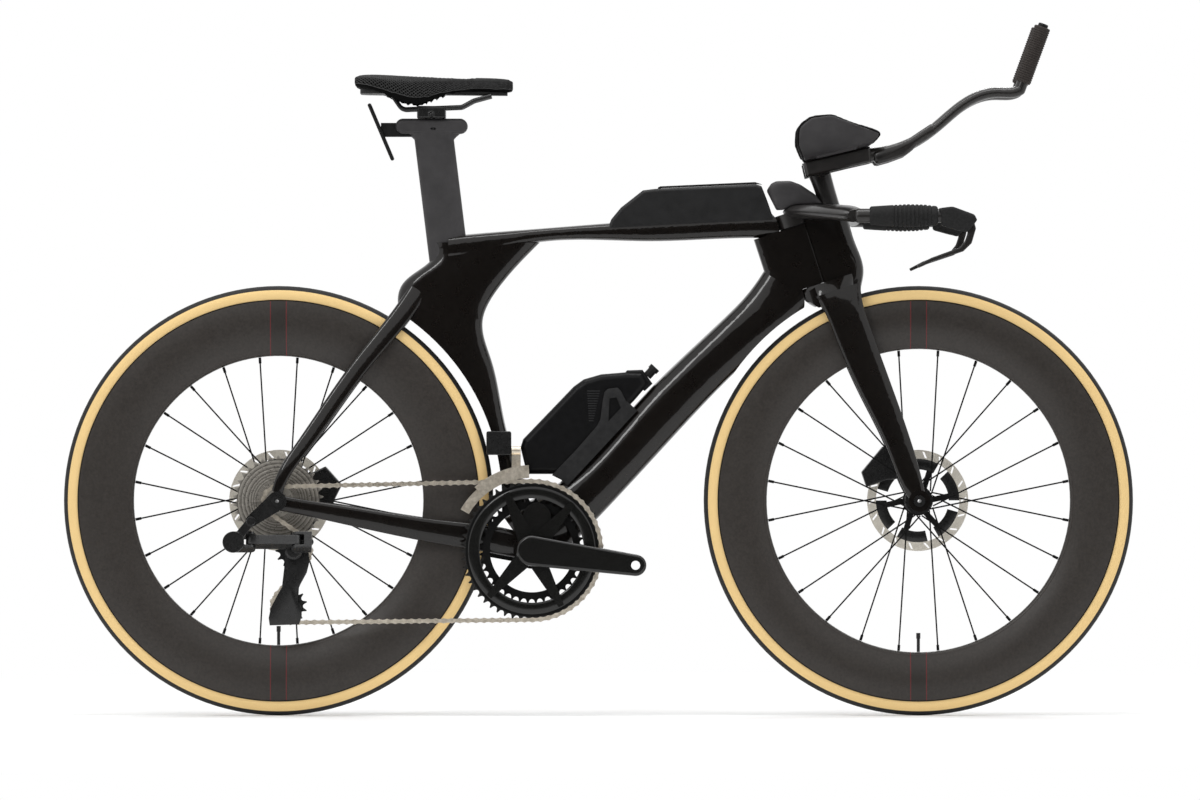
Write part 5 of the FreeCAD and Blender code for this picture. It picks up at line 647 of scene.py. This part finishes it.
def saddle_lattice():
    low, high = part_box("saddle_cover")
    tree = BVHTree.FromObject(nodes["saddle_cover"], bpy.context.evaluated_depsgraph_get())
    rows = []
    for step in range(LATTICE_STATIONS):
        share = step / (LATTICE_STATIONS - 1)
        along = low[0] + LATTICE_END + (high[0] - low[0] - 2 * LATTICE_END) * share
        profile = saddle_profile(tree, along)
        if len(profile) > LATTICE_STRANDS // 2:
            rows.append(along_profile(profile, LATTICE_STRANDS))
    bpy.ops.object.select_all(action="DESELECT")
    bpy.ops.mesh.primitive_grid_add(
        x_subdivisions=len(rows) - 1, y_subdivisions=LATTICE_STRANDS - 1, size=1)
    net = bpy.context.object
    for vertex in net.data.vertices:
        row = round((vertex.co.x + 0.5) * (len(rows) - 1))
        strand = round((vertex.co.y + 0.5) * (LATTICE_STRANDS - 1))
        vertex.co = rows[row][strand]
    # The old edges between poked faces go, and diamonds stay
    open_mesh(net)
    bpy.ops.mesh.mark_seam(clear=False)
    bpy.ops.mesh.poke()
    bpy.ops.mesh.select_all(action="DESELECT")
    close_mesh()
    shared = Counter(key for face in net.data.polygons for key in face.edge_keys)
    for edge in net.data.edges:
        edge.select = edge.use_seam and shared[edge.key] == 2
    bpy.ops.object.mode_set(mode="EDIT")
    bpy.ops.mesh.select_mode(type="EDGE")
    bpy.ops.mesh.dissolve_edges(use_verts=False)
    close_mesh()
    apply_modifier(net, "WIREFRAME", thickness=STRUT, use_even_offset=False, use_boundary=True)
    net.name = "saddle_lattice"
    return net


def saddle():
    finish_piece(saddle_lattice(), STRUTS, "seat")
    padding = swollen_copy("saddle_cover", "saddle_padding", voxel=0.0032, slack=0.0007, cap=0.0012)
    finish_piece(padding, LATTICE, "seat", smooth=80)
    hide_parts("saddle_cover")


def arm_pads():
    padding = swollen_copy(
        "arm_pads", "arm_pad_foam", voxel=0.003, slack=0.0006, cap=0.0014, stretch=PAD_STRETCH, middle=PAD_MIDDLE)
    finish_piece(padding, FOAM, "steering", smooth=80)
    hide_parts("arm_pads")


# Sleeves: a ring drawn along its axis and widened at every rib
def ribbed(start, form, first, last, pitch, end):
    """Steps up a sleeve: a plain start, one rib after another, and an end."""
    steps = list(start)
    height = first
    while height < last:
        steps += [(height + rise, size) for rise, size in form]
        height += pitch
    return steps + list(end)


def sleeve(name, rings, base, lean):
    (height, wide, tall), rest = rings[0], rings[1:]
    bpy.ops.object.select_all(action="DESELECT")
    bpy.ops.mesh.primitive_circle_add(
        vertices=SLEEVE_SIDES, radius=1, fill_type="NGON", location=(0, 0, height))
    piece = bpy.context.object
    piece.scale = (wide, tall, 1)
    apply_place(piece)
    bpy.ops.object.mode_set(mode="EDIT")
    bpy.ops.mesh.select_mode(type="FACE")
    bpy.ops.mesh.select_all(action="SELECT")
    for next_height, next_wide, next_tall in rest:
        bpy.ops.mesh.extrude_region_move(TRANSFORM_OT_translate={"value": (0, 0, next_height - height)})
        bpy.ops.transform.resize(
            value=(next_wide / wide, next_tall / tall, 1), center_override=(0, 0, next_height))
        height, wide, tall = next_height, next_wide, next_tall
    bpy.ops.mesh.select_all(action="SELECT")
    bpy.ops.mesh.normals_make_consistent(inside=False)
    close_mesh()
    piece.name = name
    piece.rotation_euler = (0, math.radians(lean), 0)
    piece.location = base
    apply_place(piece)
    return piece


def twin(piece):
    """The same piece on the other side of the bicycle."""
    other = bpy.data.objects.new(piece.name + "_left", piece.data.copy())
    bpy.context.collection.objects.link(other)
    open_mesh(other)
    bpy.ops.transform.mirror(constraint_axis=(False, True, False), center_override=(0, 0, 0))
    bpy.ops.mesh.normals_make_consistent(inside=False)
    close_mesh()
    return other


def pole_grips():
    rings = [(height, radius, radius) for height, radius in ribbed(**POLE_RIBS)]
    right = sleeve("pole_grip_sleeves", rings, POLE_FOOT, POLE_LEAN)
    sleeves = joined([right, twin(right)], "pole_grip_sleeves")
    finish_piece(sleeves, POLE_RUBBER, "steering", smooth=35)
    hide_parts("extension_grips")


def grip_half(share, column):
    """Half width or half height of a bar grip, part of the way along it."""
    for first, second in zip(GRIP_FORM, GRIP_FORM[1:]):
        if share <= second[0]:
            part = (share - first[0]) / (second[0] - first[0])
            return GRIP_SWELL * (first[column] + (second[column] - first[column]) * part)
    return GRIP_SWELL * GRIP_FORM[-1][column]


def bar_grips():
    rings = []
    for height, inset in ribbed(**GRIP_RIBS):
        share = height / GRIP_LENGTH
        rings.append((height, grip_half(share, 1) - inset, grip_half(share, 2) - inset))
    right = sleeve("bar_grip_sleeves", rings, GRIP_FOOT, GRIP_LEAN)
    sleeves = joined([right, twin(right)], "bar_grip_sleeves")
    finish_piece(sleeves, RUBBER, "steering", smooth=35)
    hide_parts("bar_grips")


# Flat plates: an outline filled, thickened and softened along its edges
def plate(name, outline, near, thick, edge):
    bpy.ops.object.select_all(action="DESELECT")
    bpy.ops.mesh.primitive_circle_add(vertices=len(outline), radius=0.1, fill_type="NGON")
    piece = bpy.context.object
    for vertex, (along, up) in zip(piece.data.vertices, outline):
        vertex.co = (along, near, up)
    piece.name = name
    apply_modifier(piece, "SOLIDIFY", thickness=thick, offset=0)
    open_mesh(piece)
    bpy.ops.mesh.normals_make_consistent(inside=False)
    close_mesh()
    apply_modifier(piece, "BEVEL", width=edge, segments=2, limit_method="ANGLE")
    return piece


def cage_wings():
    sides = []
    for side in (-1, 1):
        near = side * (BOTTLE_HALF + WING_GAP)
        wing = plate("cage_wing", WING_OUTLINE, near, thick=0.0022, edge=0.0006)
        hole = plate("cage_window", WING_WINDOW, near, thick=0.02, edge=0.001)
        apply_modifier(wing, "BOOLEAN", object=hole, operation="DIFFERENCE", solver="EXACT")
        bpy.data.objects.remove(hole)
        sides.append(wing)
    finish_piece(joined(sides, "cage_wings"), CAGE, "frame", smooth=30)


def bottle_bars():
    bars = []
    for side in (-1, 1):
        for step in range(BARS):
            up = BAR_TOP - BAR_DROP * step
            back, front = (place + shift * step for place, shift in (BAR_BACK, BAR_FRONT))
            low, high = up - BAR_HALF, up + BAR_HALF
            outline = ((back, low), (front, low), (front, high), (back, high))
            bars.append(plate("bottle_bar", outline, side * BOTTLE_HALF, thick=0.0014, edge=0.0004))
    finish_piece(joined(bars, "bottle_bars"), CAGE, "bottle", smooth=30)


def cage_plate():
    piece = plate("cage_plate", CAGE_PLATE, CAGE_PLATE_SIDE, thick=0.0022, edge=0.0006)
    finish_piece(piece, ALLOY, "derailleur_cage", smooth=30)


def pole_roots():
    roots = [plate("pole_root", POLE_ROOT, side * POLE_SIDE, thick=0.0275, edge=0.006) for side in (-1, 1)]
    finish_piece(joined(roots, "pole_roots"), BAR, "steering", smooth=50)


# Flattened rings: a torus pressed along its axis
def flat_ring(name, place, turn, radius, half, pressed, around, across):
    bpy.ops.object.select_all(action="DESELECT")
    bpy.ops.mesh.primitive_torus_add(
        major_segments=around, minor_segments=across, major_radius=radius, minor_radius=half,
        location=place, rotation=[math.radians(angle) for angle in turn])
    piece = bpy.context.object
    piece.scale = (1, 1, pressed)
    piece.name = name
    apply_place(piece)
    return piece


# Rubber that closes the gap over the head
def headset_seal():
    piece = flat_ring(
        "headset_seal", SEAL_PLACE, (0, SEAL_LEAN, 0), radius=0.020, half=0.0045, pressed=0.133,
        around=64, across=12)
    finish_piece(piece, RUBBER, "steering", smooth=60)


def ring_shroud():
    piece = flat_ring(
        "ring_shroud", SHROUD_PLACE, (90, 0, 0), radius=0.0913, half=0.0092, pressed=0.16,
        around=96, across=16)
    finish_piece(piece, GLOSS_ALLOY, "crank", smooth=60)


# Cooling fins: arcs of black plate on the carrier of each rotor
def rotor_fins(end, axle):
    low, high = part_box(end + "_rotor")
    middle = (low[1] + high[1]) / 2
    corners = [(out, across) for across in (-FIN_HALF, FIN_HALF) for out in FIN_REACH]
    fins = []
    for count in range(FINS):
        bpy.ops.object.select_all(action="DESELECT")
        bpy.ops.mesh.primitive_plane_add(size=1)
        fin = bpy.context.object
        for vertex, (out, across) in zip(fin.data.vertices, corners):
            vertex.co = (axle.x + out, middle + across, axle.z)
        open_mesh(fin)
        bpy.ops.mesh.spin(steps=FIN_STEPS, angle=math.radians(FIN_ARC), center=axle, axis=(0, 1, 0))
        bpy.ops.mesh.select_all(action="SELECT")
        bpy.ops.mesh.normals_make_consistent(inside=False)
        bpy.ops.transform.rotate(
            value=math.radians(360 / FINS * count), orient_axis="Y",
            center_override=(axle.x, middle, axle.z))
        close_mesh()
        apply_modifier(fin, "BEVEL", width=0.0005, segments=2, limit_method="ANGLE")
        fins.append(fin)
    finish_piece(joined(fins, end + "_rotor_fins"), ALLOY, end + "_wheel", smooth=30)


soft_edges()
saddle()
arm_pads()
pole_grips()
bar_grips()
cage_wings()
bottle_bars()
cage_plate()
headset_seal()
pole_roots()
ring_shroud()
rotor_fins("rear", REAR_AXLE)
rotor_fins("front", FRONT_AXLE)


# Studio: pale floor that fades into a white surround, a dark flag for the paint to mirror, and soft strip lamps
def seen_rays(tree):
    path = tree.nodes.new("ShaderNodeLightPath")
    level = path.outputs["Is Camera Ray"]
    for ray in ("Is Glossy Ray", "Is Transmission Ray"):
        either = tree.nodes.new("ShaderNodeMath")
        either.operation = "MAXIMUM"
        tree.links.new(level, either.inputs[0])
        tree.links.new(path.outputs[ray], either.inputs[1])
        level = either.outputs[0]
    return level


def studio_floor():
    bpy.ops.object.select_all(action="DESELECT")
    bpy.ops.mesh.primitive_plane_add(size=FLOOR_SIZE, location=(0, 0, 0))
    floor = bpy.context.object
    floor.name = "studio_floor"
    pale = Finish("studio_floor")
    pale.colour(pale.shades(pale.noise(0.4), (0.92, 0.92, 0.92), (0.94, 0.94, 0.94)))
    pale.fixed(Roughness=0.9, Specular_IOR_Level=0.05)
    x, y, _ = pale.axis()
    away = pale.span(pale.length(x, y), *FLOOR_FADE, 0.0, 1.0)
    fade = pale.math("MULTIPLY", away, seen_rays(pale.tree))
    glow = pale.add("ShaderNodeEmission")
    blend = pale.add("ShaderNodeMixShader")
    pale.link(fade, blend.inputs[0])
    pale.link(pale.shader.outputs[0], blend.inputs[1])
    pale.link(glow.outputs[0], blend.inputs[2])
    pale.link(blend.outputs[0], pale.tree.nodes["Material Output"].inputs["Surface"])
    dress(floor, pale)


def studio_flag():
    bpy.ops.object.select_all(action="DESELECT")
    bpy.ops.mesh.primitive_plane_add(size=1, location=FLAG_PLACE, rotation=(math.radians(90), 0, 0))
    flag = bpy.context.object
    flag.name = "studio_flag"
    flag.scale = FLAG_SIZE
    apply_place(flag)
    bpy.ops.object.mode_set(mode="EDIT")
    bpy.ops.mesh.select_all(action="DESELECT")
    close_mesh()
    for edge in flag.data.edges:
        edge.select = all(flag.data.vertices[index].co.z < FLAG_FOOT for index in edge.vertices)
    bpy.ops.object.mode_set(mode="EDIT")
    bpy.ops.mesh.select_mode(type="EDGE")
    bpy.ops.mesh.extrude_edges_move(TRANSFORM_OT_translate={"value": FLAG_TONGUE})
    close_mesh()
    dark = mottled(
        "studio_flag", (0.015, 0.015, 0.015), (0.025, 0.025, 0.025), scale=1, rough=0.9, spread=0.05)
    dress(flag, dark)
    flag.visible_camera = False
    flag.visible_diffuse = False
    flag.visible_shadow = False


def studio_surround():
    world = bpy.data.worlds.new("studio_surround")
    bpy.context.scene.world = world
    world.use_nodes = True
    tree = world.node_tree
    back = tree.nodes["Background"]
    level = tree.nodes.new("ShaderNodeMapRange")
    level.inputs["To Min"].default_value = SURROUND_LIGHT
    level.inputs["To Max"].default_value = SURROUND_SEEN
    tree.links.new(seen_rays(tree), level.inputs["Value"])
    tree.links.new(level.outputs["Result"], back.inputs["Strength"])
    back.inputs["Color"].default_value = (1, 1, 1, 1)


def studio_lamps():
    for name, place, wide, tall, power in LAMPS:
        bpy.ops.object.light_add(type="AREA", location=place)
        lamp = bpy.context.object
        lamp.name = name
        lamp.data.shape = "RECTANGLE"
        lamp.data.size = wide
        lamp.data.size_y = tall
        lamp.data.energy = power
        lamp.rotation_euler = (LAMP_AIM - Vector(place)).to_track_quat("-Z", "Y").to_euler()


def camera():
    bpy.ops.object.camera_add(
        location=(CAMERA_ALONG, -CAMERA_AWAY, CAMERA_HEIGHT), rotation=(math.radians(90), 0, 0))
    eye = bpy.context.object
    eye.data.sensor_width = CAMERA_SENSOR
    eye.data.lens = CAMERA_SENSOR * CAMERA_AWAY / CAMERA_SPAN
    bpy.context.scene.camera = eye


studio_floor()
studio_flag()
studio_surround()
studio_lamps()
camera()
bpy.context.scene.view_settings.view_transform = "Standard"
